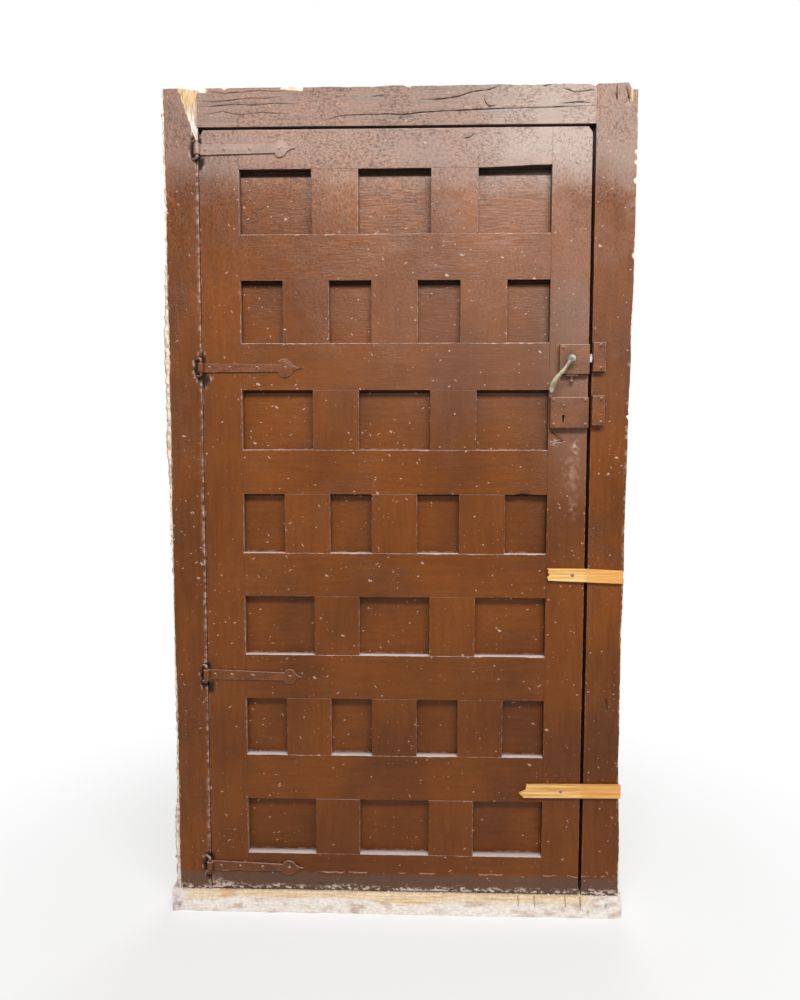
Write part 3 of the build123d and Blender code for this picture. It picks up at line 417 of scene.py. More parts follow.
def metal(name, dark, light, roughness, metallic=1.0, grey_above=None):
    """Handled or filed metal with fine scratches and dull patches, bare and grey above a height."""
    shader = Shader(name, Metallic=metallic)
    tone = shader.noise(0.012, detail=5.0)
    colour = shader.mix(dark, light, tone.level(0.35, 0.62))
    if grey_above is not None:
        grey = shader.mix((0.16, 0.155, 0.13), (0.38, 0.37, 0.32), tone.level(0.35, 0.60))
        colour = shader.mix(colour, grey, shader.height().level(grey_above - 0.006, grey_above + 0.004))
    shader.bumps((shader.noise(0.0012, (6, 6, 1), detail=2.0), 0.00012))
    return shader.finish(colour, tone * 0.3 + roughness)


def pine(name):
    """Fresh sawn pine: bands of yellow and orange along the lath."""
    shader = Shader(name, Roughness=0.62, Specular_IOR_Level=0.35)
    rings = shader.noise(0.0060, (30, 1, 1), detail=3.0, distortion=0.3)
    colour = shader.mix((0.72, 0.33, 0.078), (0.86, 0.56, 0.21), rings.level(0.40, 0.60))
    over_jamb = shader.across().level(right_inner_x - 0.014, right_inner_x)
    colour = shader.mix(colour, (0.76, 0.33, 0.074), over_jamb * 0.65)
    fibres = shader.noise(0.0016, (40, 1, 1), detail=2.0)
    colour = shader.shade(colour, fibres, 0.90, 1.06)
    shader.bumps((fibres, 0.0004), (rings, 0.0006))
    return shader.finish(colour)


# Places on the sill board where its finish changes
knot_across = (-0.470, -0.455, -0.430, -0.415)
knot_heights = (0.058, 0.070)
limed_heights = (0.072, 0.056)
limed_left, limed_right = (-0.440, -0.485), (0.555, 0.60)


def limed_board(name):
    """The sill board: bare pale pine in its upper half, lime wash and plaster smears over the rest."""
    shader = Shader(name, Roughness=0.85, Specular_IOR_Level=0.2)
    grain = shader.noise(0.004, (20, 1, 1), detail=4.0)
    board = shader.mix((0.76, 0.52, 0.30), (0.90, 0.72, 0.50), grain.level(0.35, 0.60))
    edge = shader.noise(0.060, (4, 1, 1), detail=5.0, shift=2.0)
    drop = shader.height() + edge * 0.055
    end = shader.across() + edge * 0.16
    left_end = end.level(*limed_left)
    lime = shader.most(drop.level(*limed_heights) * 0.92, end.level(*limed_right), left_end)
    dirt = shader.noise(0.022, (2, 1, 1), detail=5.0, shift=6.0)
    wash = shader.mix((0.66, 0.54, 0.47), (0.92, 0.86, 0.80), dirt.level(0.32, 0.52))
    bruise = shader.mix((0.58, 0.47, 0.46), (0.86, 0.77, 0.73), dirt.level(0.34, 0.54))
    colour = shader.mix(board, shader.mix(wash, bruise, left_end), lime)
    knot = shader.across().window(*knot_across) * drop.level(*knot_heights) * 0.45
    colour = shader.mix(colour, (0.66, 0.34, 0.13), knot)
    mottle = shader.noise(0.0060, (1.6, 1, 1), detail=6.0, shift=23.0)
    colour = shader.shade(colour, mottle, 0.90, 1.14)
    colour = shader.mix(colour, crack_and_shade_dark, shader.attribute("crevice"))
    colour = shader.mix(colour, (0.30, 0.20, 0.13), shader.specks(0.026, 0.0018, 0.16) * 0.5)
    shader.bumps((dirt, 0.0034), (grain, 0.0010), (shader.noise(0.003, detail=2.0), 0.0006))
    return shader.finish(colour)


def lime_plaster(name):
    """Rough lime plaster, stained in its hollows."""
    shader = Shader(name, Roughness=0.9, Specular_IOR_Level=0.2)
    tone = shader.noise(0.012, detail=5.0)
    colour = shader.mix((0.52, 0.37, 0.27), (0.82, 0.71, 0.59), tone.level(0.34, 0.56))
    shader.bumps((tone, 0.0020), (shader.noise(0.002, detail=3.0), 0.0008))
    return shader.finish(colour)


iron_paint = ironwork("iron_paint")
lever_grey_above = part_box("latch_cam")[1].z - 0.022
brass = metal("brass", (0.20, 0.16, 0.10), (0.38, 0.32, 0.21), 0.36, 0.45, lever_grey_above)
bright_steel = metal("bright_steel", (0.20, 0.20, 0.21), (0.40, 0.40, 0.42), 0.36)
plain_steel = metal("plain_steel", (0.10, 0.095, 0.09), (0.26, 0.24, 0.22), 0.40)
lath_pine = pine("lath_pine")
sill_finish = limed_board("sill_finish")
plaster_finish = lime_plaster("plaster_finish")


# Worn timber


def field(points, size, seed):
    """Smooth noise from -1 to 1 at each point, with lumps of this size in metres."""
    lattice = np.random.default_rng(seed).uniform(-1, 1, (32, 32, 32))
    steps = points / np.asarray(size)
    cell = np.floor(steps).astype(int)
    share = steps - cell
    share = share * share * (3 - 2 * share)
    total = np.zeros(len(points))
    for corner in itertools.product((0, 1), repeat=3):
        weight = np.prod(np.where(corner, share, 1 - share), axis=1)
        x, y, z = ((cell + corner) % 32).T
        total += weight * lattice[x, y, z]
    return total


# How far from an arris the timber is cut, and how finely each kind is cut in between
arris_lines = (0.0006, 0.0015, 0.0030, 0.0050)
thickness_lines = (*arris_lines, 0.010)
leaf_step, stile_step, jamb_step, head_step, sill_step = 0.012, 0.010, 0.0085, 0.0075, 0.009


def cuts(low, high, step, both_ends=True):
    """Places to cut a timber across: evenly, and closely beside its arrises."""
    ends = [low + line for line in arris_lines]
    if both_ends:
        ends += [high - line for line in arris_lines]
    count = max(2, round((high - low) / step))
    even = [low + (high - low) * i / count for i in range(1, count)]
    margin = arris_lines[-1] + step * 0.3
    inner = [place for place in even if place > low + margin and (place < high - margin or not both_ends)]
    return sorted(ends + inner)


def welded(node, flatness):
    """A copy of a node's mesh, with its points joined and its flat faces whole."""
    shape = bmesh.new()
    shape.from_mesh(nodes[node].data)
    bmesh.ops.remove_doubles(shape, verts=shape.verts, dist=1e-6)
    bmesh.ops.dissolve_limit(shape, angle_limit=flatness, verts=shape.verts, edges=shape.edges)
    return shape


def mesh_of(shape, name):
    mesh = bpy.data.meshes.new(name)
    shape.to_mesh(mesh)
    shape.free()
    return mesh


def sliced(node, steps):
    """A copy of a node's mesh, cut across x, y and z so that it can bend and be worn."""
    shape = welded(node, 0.002)
    low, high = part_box(node)
    for axis, places in enumerate(steps):
        normal = Vector(float(i == axis) for i in range(3))
        for place in places:
            if low[axis] < place < high[axis]:
                everything = shape.verts[:] + shape.edges[:] + shape.faces[:]
                bmesh.ops.bisect_plane(
                    shape, geom=everything, dist=1e-6, plane_co=normal * place, plane_no=normal
                )
    return shape


def score(shape, path, half_width):
    """Cut the front face along a path of x, z points and beside it, so that a groove can be pressed in."""
    for (x0, z0), (x1, z1) in zip(path[:-1], path[1:]):
        start, end = Vector((x0, face_y, z0)), Vector((x1, face_y, z1))
        middle, reach = (start + end) / 2, (end - start).length / 2 + half_width
        side = Vector((z0 - z1, 0, x1 - x0)).normalized()
        for offset in (-half_width, 0, half_width):
            faces = [
                face
                for face in shape.faces
                if abs(face.normal.y) > 0.9
                and face.calc_center_median().y < face_y + 0.002
                and min((v.co - middle).length for v in face.verts) < reach + 0.004
            ]
            geometry = list({g for f in faces for g in (f, *f.edges, *f.verts)})
            bmesh.ops.bisect_plane(
                shape, geom=geometry, dist=1e-6, plane_co=middle + side * offset, plane_no=side
            )


def path_distance(points, path):
    """Distance in x and z from each point to a path, and how far along the path the nearest place is."""
    flat = points[:, (0, 2)]
    nearest = np.full(len(points), 1e9)
    along = np.zeros(len(points))
    path = np.asarray(path)
    lengths = np.linalg.norm(np.diff(path, axis=0), axis=1)
    run = np.concatenate([[0], np.cumsum(lengths)])
    for start, end, length, before in zip(path[:-1], path[1:], lengths, run):
        direction = (end - start) / length
        share = np.clip((flat - start) @ direction, 0, length)
        distance = np.linalg.norm(flat - start - share[:, None] * direction, axis=1)
        closer = distance < nearest
        nearest = np.where(closer, distance, nearest)
        along = np.where(closer, (before + share) / run[-1], along)
    return nearest, along


def groove(co, path, half_width, depth):
    """Press a crack into the front face along a path. Returns how deep each point went, from 0 to 1."""
    distance, along = path_distance(co, path)
    taper = np.minimum(1, 5 * np.minimum(along, 1 - along) + 0.25)
    pressed = fade(distance, half_width) * taper * at_front(co, 0.003)
    co[:, 1] += pressed * depth
    return pressed


def wear_arris(co, edge, axis, side, radius, seed, front_y):
    """Round the arris between the front and one side of a timber, more here and less there."""
    drawn = np.full(3, 0.035)
    drawn[1] = 0.2
    bites = np.clip(field(co, drawn * 0.35, seed + 1), 0, 1) ** 2
    uneven = 0.55 + 0.55 * field(co, drawn, seed) + 0.45 * bites
    local = radius * np.clip(uneven, 0.25, 1.6)
    depth = co[:, 1] - front_y
    inward = (co[:, axis] - edge) * -side
    a, b = local - depth, local - inward
    near = (a > 0) & (b > 0) & (depth > -1e-5) & (inward > -1e-5)
    length = np.hypot(a, b)
    scale = np.where(near & (length > local), local / np.maximum(length, 1e-9), 1)
    co[:, 1] = np.where(near, front_y + local - a * scale, co[:, 1])
    co[:, axis] = np.where(near, edge - side * (local - b * scale), co[:, axis])
    return near


def at_front(co, depth=0.004):
    """Which points lie no deeper than this behind the leaf's front face."""
    return co[:, 1] <= face_y + depth


def coordinates(mesh):
    co = np.zeros(len(mesh.vertices) * 3)
    mesh.vertices.foreach_get("co", co)
    return co.reshape(-1, 3)


def mark(mesh, name, values):
    """Keep a value from 0 to 1 at each vertex for the shaders."""
    layer = mesh.attributes.new(name, "FLOAT", "POINT")
    layer.data.foreach_set("value", np.asarray(values, np.float32))


def deepen(marks, name, values):
    """Mark the timber at least this strongly."""
    marks[name] = np.maximum(marks[name], values)


def fade(distance, reach):
    """1 at no distance, 0 at the reach and beyond."""
    return np.clip(1 - distance / reach, 0, 1)


def dress(mesh, material):
    """Give all faces of a mesh one finish."""
    mesh.materials.clear()
    mesh.materials.append(material)
    mesh.polygons.foreach_set("material_index", [0] * len(mesh.polygons))


def placed(name, data):
    """A new object in the scene."""
    item = bpy.data.objects.new(name, data)
    bpy.context.scene.collection.objects.link(item)
    return item


def piece_from(name, mesh, material, body, replaced=()):
    """Put a finished mesh into the scene, on its body, in its finish, for the nodes that it replaces."""
    dress(mesh, material)
    piece = placed(name, mesh)
    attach(piece, body)
    if replaced:
        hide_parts(*replaced)
    return piece


def settle(co, unevenness, seed):
    """Let the whole timber lie a little unevenly at its front; its back and its joints stay."""
    depth = fade(co[:, 1] - face_y, 0.020)
    sag = field(co, (0.24, 0.5, 0.24), 11) * 0.0007 + field(co, (0.06, 0.3, 0.06), 12) * 0.00025
    step = np.random.default_rng(seed).uniform(0, unevenness)
    co[:, 1] += depth * (sag + 0.0007 + step)


class Timber:
    """A painted timber: a node's mesh, cut finely, with worn arrises and scars."""

    def __init__(self, node, step, body, material, slot, thickness_cuts=True):
        self.node, self.body, self.material, self.slot = node, body, material, slot
        self.low, self.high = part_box(node)
        self.step = step
        self.scars = []
        self.arrises = []
        self.extra = ([], [], [])
        self.front = self.low.y
        self.thickness_cuts = thickness_cuts

    def arris(self, axis, side, edge, radius, rubbed=0.45):
        """An arris at a place, or at a function of the points: rubbed pale (worn and painted highlight), or
        dark where negative.
        """
        self.arrises.append((axis, side, edge, radius, rubbed))
        return self

    def scar(self, path, half_width=0.0016, depth=0.004):
        self.scars.append((path, half_width, depth))
        return self

    def build(self, seed, reshape=None, uneven=0.0005, x_range=None, z_range=None):
        x0, x1 = x_range or (self.low.x, self.high.x)
        z0, z1 = z_range or (self.low.z, self.high.z)
        steps = (
            cuts(x0, x1, self.step) + self.extra[0],
            [self.front + line for line in thickness_lines] if self.thickness_cuts else [],
            cuts(z0, z1, self.step) + self.extra[2],
        )
        shape = sliced(self.node, steps)
        for path, half_width, _ in self.scars:
            score(shape, path, half_width)
        bmesh.ops.recalc_face_normals(shape, faces=shape.faces)
        mesh = mesh_of(shape, self.node)
        co = coordinates(mesh)
        crevice = np.zeros(len(co))
        for path, half_width, depth in self.scars:
            crevice = np.maximum(crevice, groove(co, path, half_width, depth))
        worn = np.zeros(len(co))
        for number, (axis, side, edge, radius, rubbed) in enumerate(self.arrises):
            place = edge(co) if callable(edge) else edge
            near = wear_arris(co, place, axis, side, radius, seed + 7 * number, self.front)
            worn = np.maximum(worn, near * max(rubbed, 0.0))
            crevice = np.maximum(crevice, near * max(-rubbed, 0.0))
        marks = {"wear": worn, "crevice": crevice, "raw": np.zeros(len(co)), "plaster": np.zeros(len(co))}
        if reshape:
            reshape(co, marks)
        settle(co, uneven, seed)
        mesh.vertices.foreach_set("co", co.ravel())
        for name, values in marks.items():
            mark(mesh, name, values)
        mesh.update()
        mesh.shade_smooth()
        return piece_from("worn_" + self.node, mesh, self.material, self.body, [self.node])


free_arris = 0.0017
butt_arris = 0.0005
# How pale each arris is rubbed: worn paint with painted highlight, more on arrises facing up and towards +x;
# negative is a dark joint line
lit_ledge_rub, shaded_under_rub, joint_rub = 0.85, 0.15, -0.45
lit_rub, dim_rub = 0.60, 0.25
hinge_side, lock_side = -1, 1
rail_count = 8

# The rails' own heights: each row's muntins reach into the rails above and below by a tongue's length
tongue = 0.0092
row_low = [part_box(f"muntins_row_{row}")[0].z + tongue for row in range(1, rail_count)]
row_high = [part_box(f"muntins_row_{row}")[1].z - tongue for row in range(1, rail_count)]
rail_low = [leaf_low.z, *row_high]
rail_high = [*row_low, leaf_high.z]

top_rail_nicks = [
    ((0.162, 1.974), (0.176, 1.975), (0.190, 1.986)),
    ((-0.420, 1.951), (-0.385, 1.948), (-0.335, 1.950)),
    ((0.246, 1.985), (0.254, 1.981)),
]
bottom_rail_nicks = [((-0.197, 0.080), (-0.192, 0.078))]

# The broken place in the arris over the last panel of the fourth row
broken_x, broken_rail = (0.302, 0.338), 4


def broken_arris(co, marks):
    middle, half = sum(broken_x) / 2, (broken_x[1] - broken_x[0]) / 2
    near = np.clip(1.3 - abs(co[:, 0] - middle) / half, 0, 1)
    near *= fade(co[:, 2] - rail_low[broken_rail], 0.010) * at_front(co, 0.012)
    rough = 0.6 + 0.4 * field(co, (0.005, 0.2, 0.006), 35)
    co[:, 2] += near * rough * 0.0045
    co[:, 1] += near * rough * 0.0035
    deepen(marks, "crevice", near * 0.7)


# Where along the top rail its lower arris starts to be worn away, and over what length
raised_x, raised_run = 0.215, 0.11


def raised_arris(co, marks):
    """The top rail's lower arris, worn away in waves towards the lock side."""
    near = fade(co[:, 2] - rail_low[-1], 0.014) * at_front(co, 0.012)
    wave = 0.0012 * field(co, (0.05, 0.2, 0.3), 36)
    wave += 0.0055 * np.clip((co[:, 0] - raised_x) / raised_run, 0, 1)
    co[:, 2] += near * np.clip(wave, 0, 1)


for index, (low_z, high_z) in enumerate(zip(rail_low, rail_high)):
    rail = Timber(f"rail_{index + 1}", leaf_step, "leaf", rail_paint, "painted_leaf")
    rail.arris(2, -1, low_z, free_arris, shaded_under_rub).arris(2, 1, high_z, free_arris, lit_ledge_rub)
    rail.arris(0, hinge_side, field_x0, butt_arris, joint_rub)
    rail.arris(0, lock_side, field_x1, butt_arris, joint_rub)
    for nick in {rail_count - 1: top_rail_nicks, 0: bottom_rail_nicks}.get(index, []):
        rail.scar(nick)
    reshape = {broken_rail: broken_arris, rail_count - 1: raised_arris}.get(index)
    rail.build(100 + index, reshape, x_range=(field_x0, field_x1), z_range=(low_z, high_z))


hinge_heights = [sum(c.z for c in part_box(f"strap_{n}")) / 2 for n in (1, 2, 3, 4)]


def distance_from(co, x, z, half_x, half_z):
    """How far each point lies from a place on the front, as a share of an oval's half width and height."""
    return np.hypot((co[:, 0] - x) / half_x, (co[:, 2] - z) / half_z)


def gouge(co, marks, x, z, half_x, half_z, depth, seed):
    """Hack a hollow into the front face, with a ragged outline and splintered fibres."""
    ragged = 0.5 + 0.5 * field(co, (0.006, 0.1, 0.010), seed)
    reach = distance_from(co, x, z, half_x, half_z)
    hollow = np.clip((1 - reach) * 2.2 + (ragged - 0.5) * 1.2, 0, 1) * (reach <= 1.25) * at_front(co)
    fibres = 0.65 + 0.35 * field(co, (0.0035, 0.1, 0.014), seed + 1)
    co[:, 1] += hollow * depth * fibres
    deepen(marks, "crevice", np.clip(hollow * 1.6, 0, 1))
    deepen(marks, "wear", (hollow > 0.01) * (hollow < 0.25) * 0.8)


# Scuffs under the lock: middle in x and z, half width and height, and how bare they are
lock_stile_scuffs = (
    (0.395, 1.240, 0.014, 0.0050, 1.0),
    (0.389, 1.249, 0.010, 0.0035, 0.8),
    (0.446, 1.228, 0.011, 0.0200, 0.75),
    (0.438, 1.165, 0.022, 0.0500, 0.26),
    (0.443, 1.085, 0.016, 0.0450, 0.16),
)


def scuff(co, marks, x, z, half_x, half_z, strength, seed):
    """A place rubbed through to pale primer, ragged at its edge."""
    reach = distance_from(co, x, z, half_x, half_z)
    ragged = 0.7 * field(co, (0.007, 0.1, 0.009), seed)
    rubbed = np.clip((1.1 - reach) * 1.6 + ragged, 0, 1) * (reach < 1.3) * at_front(co)
    co[:, 1] += rubbed * 0.0007
    deepen(marks, "wear", rubbed * strength)


def close_joints(co, marks, x):
    """Where the rails butt on a stile the arris is filled with paint: not rubbed pale there, a fine dark line.
    """
    for low, high in zip(rail_low, rail_high):
        butted = (abs(co[:, 0] - x) < 0.006) & (co[:, 2] > low + 0.001) & (co[:, 2] < high - 0.001)
        marks["crevice"] = np.where(butted, marks["wear"] * 0.5, marks["crevice"])
        marks["wear"] = np.where(butted, 0.0, marks["wear"])


def hinge_side_shape(co, marks):
    close_joints(co, marks, field_x0)
    scuff(co, marks, leaf_low.x + 0.010, leaf_low.z + 0.012, 0.022, 0.024, 1.0, 48)
    for number, z in enumerate(hinge_heights):
        gouge(co, marks, leaf_low.x + 0.001, z + 0.022, 0.008, 0.014, 0.003, 50 + number)
        if number:
            gouge(co, marks, leaf_low.x + 0.002, z - 0.030, 0.016, 0.020, 0.004, 40 + number)


def lock_side_shape(co, marks):
    close_joints(co, marks, field_x1)
    for number, (x, z, half_x, half_z, strength) in enumerate(lock_stile_scuffs):
        scuff(co, marks, x, z, half_x, half_z, strength, 60 + number)


hinge_stile = Timber("hinge_stile", stile_step, "leaf", stile_paint, "painted_leaf")
hinge_stile.arris(0, hinge_side, leaf_low.x, free_arris).arris(0, lock_side, field_x0, free_arris, lit_rub)
hinge_stile.arris(2, 1, leaf_high.z, free_arris).arris(2, -1, leaf_low.z, free_arris, dim_rub)
hinge_stile.build(201, hinge_side_shape)

lock_stile = Timber("lock_stile", stile_step, "leaf", stile_paint, "painted_leaf")
lock_stile.arris(0, hinge_side, field_x1, free_arris, dim_rub).arris(0, lock_side, leaf_high.x, free_arris)
lock_stile.arris(2, 1, leaf_high.z, free_arris).arris(2, -1, leaf_low.z, free_arris, dim_rub)
lock_stile_nicks = [
    ((0.447, 1.952), (0.450, 1.948)),
    ((0.450, 1.937), (0.449, 1.929)),
    ((0.434, 1.916), (0.438, 1.913)),
    ((0.459, 1.915), (0.463, 1.911)),
    ((0.386, 1.268), (0.398, 1.254), (0.412, 1.243)),
    ((0.384, 1.236), (0.400, 1.240), (0.418, 1.242)),
]
for nick in lock_stile_nicks:
    lock_stile.scar(nick)
lock_stile.build(202, lock_side_shape)

# How far the painted shadow under each rail reaches down the panels, from the lowest row up
shaded_heights = (0.002, 0.003, 0.003, 0.004, 0.005, 0.007, 0.011)
muntin_width = 0.115

for row in range(1, rail_count):
    muntins = Timber(f"muntins_row_{row}", leaf_step, "leaf", stile_paint, "painted_leaf")
    low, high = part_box(f"muntins_row_{row}")
    count = 4 if row % 2 == 0 else 3
    opening = (field_x1 - field_x0 - (count - 1) * muntin_width) / count
    lefts = [field_x0 + opening + i * (opening + muntin_width) for i in range(count - 1)]
    for left in lefts:
        muntins.extra[0].extend(cuts(left, left + muntin_width, leaf_step))
        muntins.arris(0, -1, left, free_arris * 0.9, dim_rub)
        muntins.arris(0, 1, left + muntin_width, free_arris * 0.9, lit_rub)
    bottom, top = row_low[row - 1], row_high[row - 1]
    muntins.arris(2, -1, bottom, butt_arris, joint_rub).arris(2, 1, top, butt_arris, joint_rub)
    muntins.build(300 + 10 * row, x_range=(low.x, low.x + 0.001), z_range=(bottom, top))

    shaded = shaded_heights[row - 1]

    def shadowed_dusty_edges(co, marks, bottom=bottom, top=top, shaded=shaded):
        """Painted shadow under the rail above; dust and painted light along the foot."""
        # Painted shadow: a near black band under the rail above
        dark = np.clip((shaded + 0.002 - (top - co[:, 2])) / 0.002, 0, 1) * (co[:, 2] < top)
        deepen(marks, "crevice", dark * 0.92)
        foot_dust_and_light = fade(co[:, 2] - bottom, 0.004) * (co[:, 2] > bottom)
        deepen(marks, "wear", foot_dust_and_light * 0.7)

    panels = Timber(f"panels_row_{row}", leaf_step, "leaf", panel_paint, "painted_panel", thickness_cuts=False)
    panels.extra[2].extend([bottom + 0.002, bottom + 0.004, top - shaded - 0.002, top - shaded])
    panels.build(400 + 10 * row, shadowed_dusty_edges)

# Frame timbers

# Cracks in the head, each a path of x, z points. Those that start left of this x are finer
fine_cracks_x = -0.40
head_cracks = [
    (
        (-0.186, 2.018), (-0.130, 2.031), (-0.094, 2.032), (-0.018, 2.0335), (0.018, 2.031),
        (0.051, 2.0355), (0.093, 2.038), (0.162, 2.040), (0.250, 2.043), (0.394, 2.0455), (0.480, 2.048),
    ),
    ((0.059, 2.065), (0.109, 2.067), (0.148, 2.072), (0.184, 2.084), (0.225, 2.0885), (0.252, 2.099)),
    ((-0.055, 2.0755), (-0.035, 2.077)),
    ((0.211, 2.067), (0.216, 2.056), (0.223, 2.0485), (0.236, 2.050)),
    ((-0.486, 2.068), (-0.445, 2.066), (-0.405, 2.069), (-0.365, 2.074), (-0.320, 2.073), (-0.280, 2.077)),
    ((-0.484, 2.055), (-0.440, 2.056), (-0.395, 2.060), (-0.350, 2.057), (-0.300, 2.061), (-0.240, 2.058)),
    ((-0.470, 2.036), (-0.425, 2.043), (-0.385, 2.034), (-0.330, 2.040), (-0.270, 2.035)),
    ((-0.455, 2.089), (-0.400, 2.088), (-0.330, 2.092), (-0.260, 2.089)),
    ((0.400, 2.090), (0.430, 2.080), (0.478, 2.086)),
    ((0.352, 2.096), (0.372, 2.100)),
    ((0.395, 2.0535), (0.430, 2.056), (0.470, 2.055)),
]


def ragged_top(co, marks):
    """The sawn and broken top edge of the frame: nowhere higher than it was."""
    wave = 0.5 + 0.5 * field(co, (0.05, 0.3, 0.4), 71)
    nick = np.clip(field(co, (0.014, 0.3, 0.4), 72) - 0.35, 0, 1)
    near_top = fade(frame_top - co[:, 2], 0.030)
    co[:, 2] -= near_top * (0.0035 * wave + 0.007 * nick)
    deepen(marks, "plaster", (co[:, 2] > frame_top - 0.0105) * 0.30)


pale_notch = (-0.280, -0.232)
raw_corner_width, raw_corner_drop = 0.0235, 0.014


def head_shape(co, marks):
    ragged_top(co, marks)
    upper = co[:, 2] > frame_top - raw_corner_drop
    broken = upper & (co[:, 0] < left_inner_x + raw_corner_width)
    deepen(marks, "raw", broken * 0.9)
    notch = (co[:, 2] > frame_top - 0.009) & (co[:, 0] > pale_notch[0]) & (co[:, 0] < pale_notch[1])
    deepen(marks, "plaster", notch * 0.8)


head_beam = Timber("head_beam", head_step, "frame", head_paint, "painted_frame")
head_beam.arris(2, -1, head_low_z, free_arris * 1.2, shaded_under_rub).arris(2, 1, frame_top, free_arris * 2, 0.3)
head_beam.arris(0, -1, left_inner_x, butt_arris, joint_rub).arris(0, 1, right_inner_x, butt_arris, joint_rub)
for crack in head_cracks:
    shallow = crack[0][0] < fine_cracks_x
    head_beam.scar(crack, 0.0012 if shallow else 0.0017, 0.0028 if shallow else 0.005)
head_beam.build(501, head_shape, x_range=(left_inner_x, right_inner_x), z_range=(head_low_z, frame_top))


def front_edge(side):
    """A function that gives the outer edge of a jamb's front face at the height of each point."""

    def place(co):
        front = co[co[:, 1] < face_y + 0.0015]
        rows = np.arange(sill_top, frame_top, 0.008)
        reach = [side * np.max(side * front[abs(front[:, 2] - row) < 0.0065, 0]) for row in rows]
        return np.interp(co[:, 2], rows, reach)

    return place


def ragged_side(co, marks, side, seed, limed=0.004):
    """The jamb's outer side: hacked, wavy, with lime plaster left on it and chips out of its arris."""
    outer_x = front_edge(side)(co)
    wave = 0.0020 * field(co, (0.4, 0.5, 0.26), seed) + 0.0012 * field(co, (0.4, 0.5, 0.045), seed + 1)
    chip = 0.006 * np.clip(field(co, (0.4, 0.03, 0.022), seed + 2) - 0.45, 0, 1)
    inward = (co[:, 0] - outer_x) * -side
    near = fade(abs(inward), 0.030)
    co[:, 0] += side * near * (wave - chip - 0.001)
    strip = fade(inward, 0.011) * (0.75 + 0.35 * field(co, (0.5, 0.5, 0.09), seed + 3))
    cover = np.where(~at_front(co, 0.006) & (inward < limed), 1.0, strip * 0.62)
    deepen(marks, "plaster", np.clip(cover, 0, 1))


def ragged_foot(co, marks, seed):
    """The jamb's foot, broken off unevenly above the sill."""
    near = fade(co[:, 2] - sill_top, 0.020) * at_front(co, 0.010)
    broken = np.clip(field(co, (0.011, 0.2, 0.2), seed) + 0.25, 0, 1)
    co[:, 1] += near**2 * broken * 0.004
    deepen(marks, "plaster", near * broken * 0.75)


scar_width, scar_height, scar_depth = 0.042, 0.136, 0.014


def left_jamb_shape(co, marks):
    start = np.array([left_inner_x - scar_width, face_y, frame_top])
    foot = np.array([left_inner_x, face_y, frame_top - scar_height])
    back = np.array([left_inner_x, face_y + scar_depth, frame_top])
    normal = np.cross(foot - start, back - start)
    normal /= np.linalg.norm(normal)
    on_scar = abs((co - start) @ normal) < 0.0007
    on_scar &= co[:, 2] > foot[2] - 0.002
    fibres = 0.5 + 0.5 * field(co, (0.004, 0.2, 0.05), 81)
    co[:, 1] += on_scar * fibres * 0.0022
    deepen(marks, "raw", on_scar * 1.0)
    for number, z in enumerate(hinge_heights):
        gouge(co, marks, left_inner_x - 0.004, z, 0.017, 0.040, 0.006, 90 + number)
    ragged_top(co, marks)
    beside_gap = np.clip(1.3 - (left_inner_x - co[:, 0]) / 0.007, 0, 1) * at_front(co)
    flaked = beside_gap * (0.45 + 0.55 * field(co, (0.3, 0.3, 0.013), 89))
    deepen(marks, "wear", np.clip(flaked, 0, 1) * 0.95)
    ragged_side(co, marks, -1, 83)
    ragged_foot(co, marks, 87)


# Notches in the lock jamb's outer arris: height and depth
right_notches = [
    (1.936, 0.0045), (1.912, 0.0035), (1.874, 0.0045), (1.690, 0.0030), (1.302, 0.0035), (0.905, 0.0040),
]


corner_width, corner_drop = 0.015, 0.017
bare_knot = (0.557, 2.046)


def right_jamb_shape(co, marks):
    """Ragged like the other jamb, with a broken top corner, a bare knot and chips out of its outer arris."""
    ragged_top(co, marks)
    outer_x = front_edge(1)(co)
    corner = outer_x - co[:, 0] < corner_width
    co[:, 2] = np.where(corner, np.minimum(co[:, 2], frame_top - corner_drop), co[:, 2])
    beside = (abs(outer_x - co[:, 0] - corner_width) < 0.005) & (co[:, 2] > frame_top - 0.050)
    deepen(marks, "raw", beside * 0.75)
    scuff(co, marks, *bare_knot, 0.007, 0.010, 1.0, 99)
    for z, deep in right_notches:
        near = fade(abs(co[:, 2] - z), 0.007) * fade(outer_x - co[:, 0], 0.012)
        co[:, 0] -= near * deep
        deepen(marks, "plaster", (near > 0.25) * 0.8)
    ragged_side(co, marks, 1, 93, limed=0.0135)
    ragged_foot(co, marks, 97)


left_jamb = Timber("left_jamb", jamb_step, "frame", jamb_paint, "painted_frame")
left_jamb.arris(0, 1, left_inner_x, free_arris * 1.7, 0.9).arris(0, -1, jamb_x0, free_arris * 2.4, 0.8)
left_jamb.extra[0].extend(cuts(left_inner_x - 0.02, left_inner_x, 0.004))
left_jamb.build(601, left_jamb_shape, x_range=(jamb_x0, left_inner_x))

right_jamb = Timber("right_jamb", jamb_step, "frame", jamb_paint, "painted_frame")
right_jamb.arris(0, -1, right_inner_x, free_arris, 0.2).arris(0, 1, front_edge(1), free_arris * 1.6, 0.6)
right_jamb_nicks = [
    ((0.528, 2.078), (0.529, 2.069), (0.531, 2.060)),
    ((0.552, 2.093), (0.556, 2.075), (0.561, 2.055)),
    ((0.530, 2.096), (0.530, 2.075)),
    ((0.5365, 0.586), (0.540, 0.560)),
]
for nick in right_jamb_nicks:
    right_jamb.scar(nick, 0.0022, 0.006)
right_jamb.build(602, right_jamb_shape, x_range=(right_inner_x, jamb_x1))

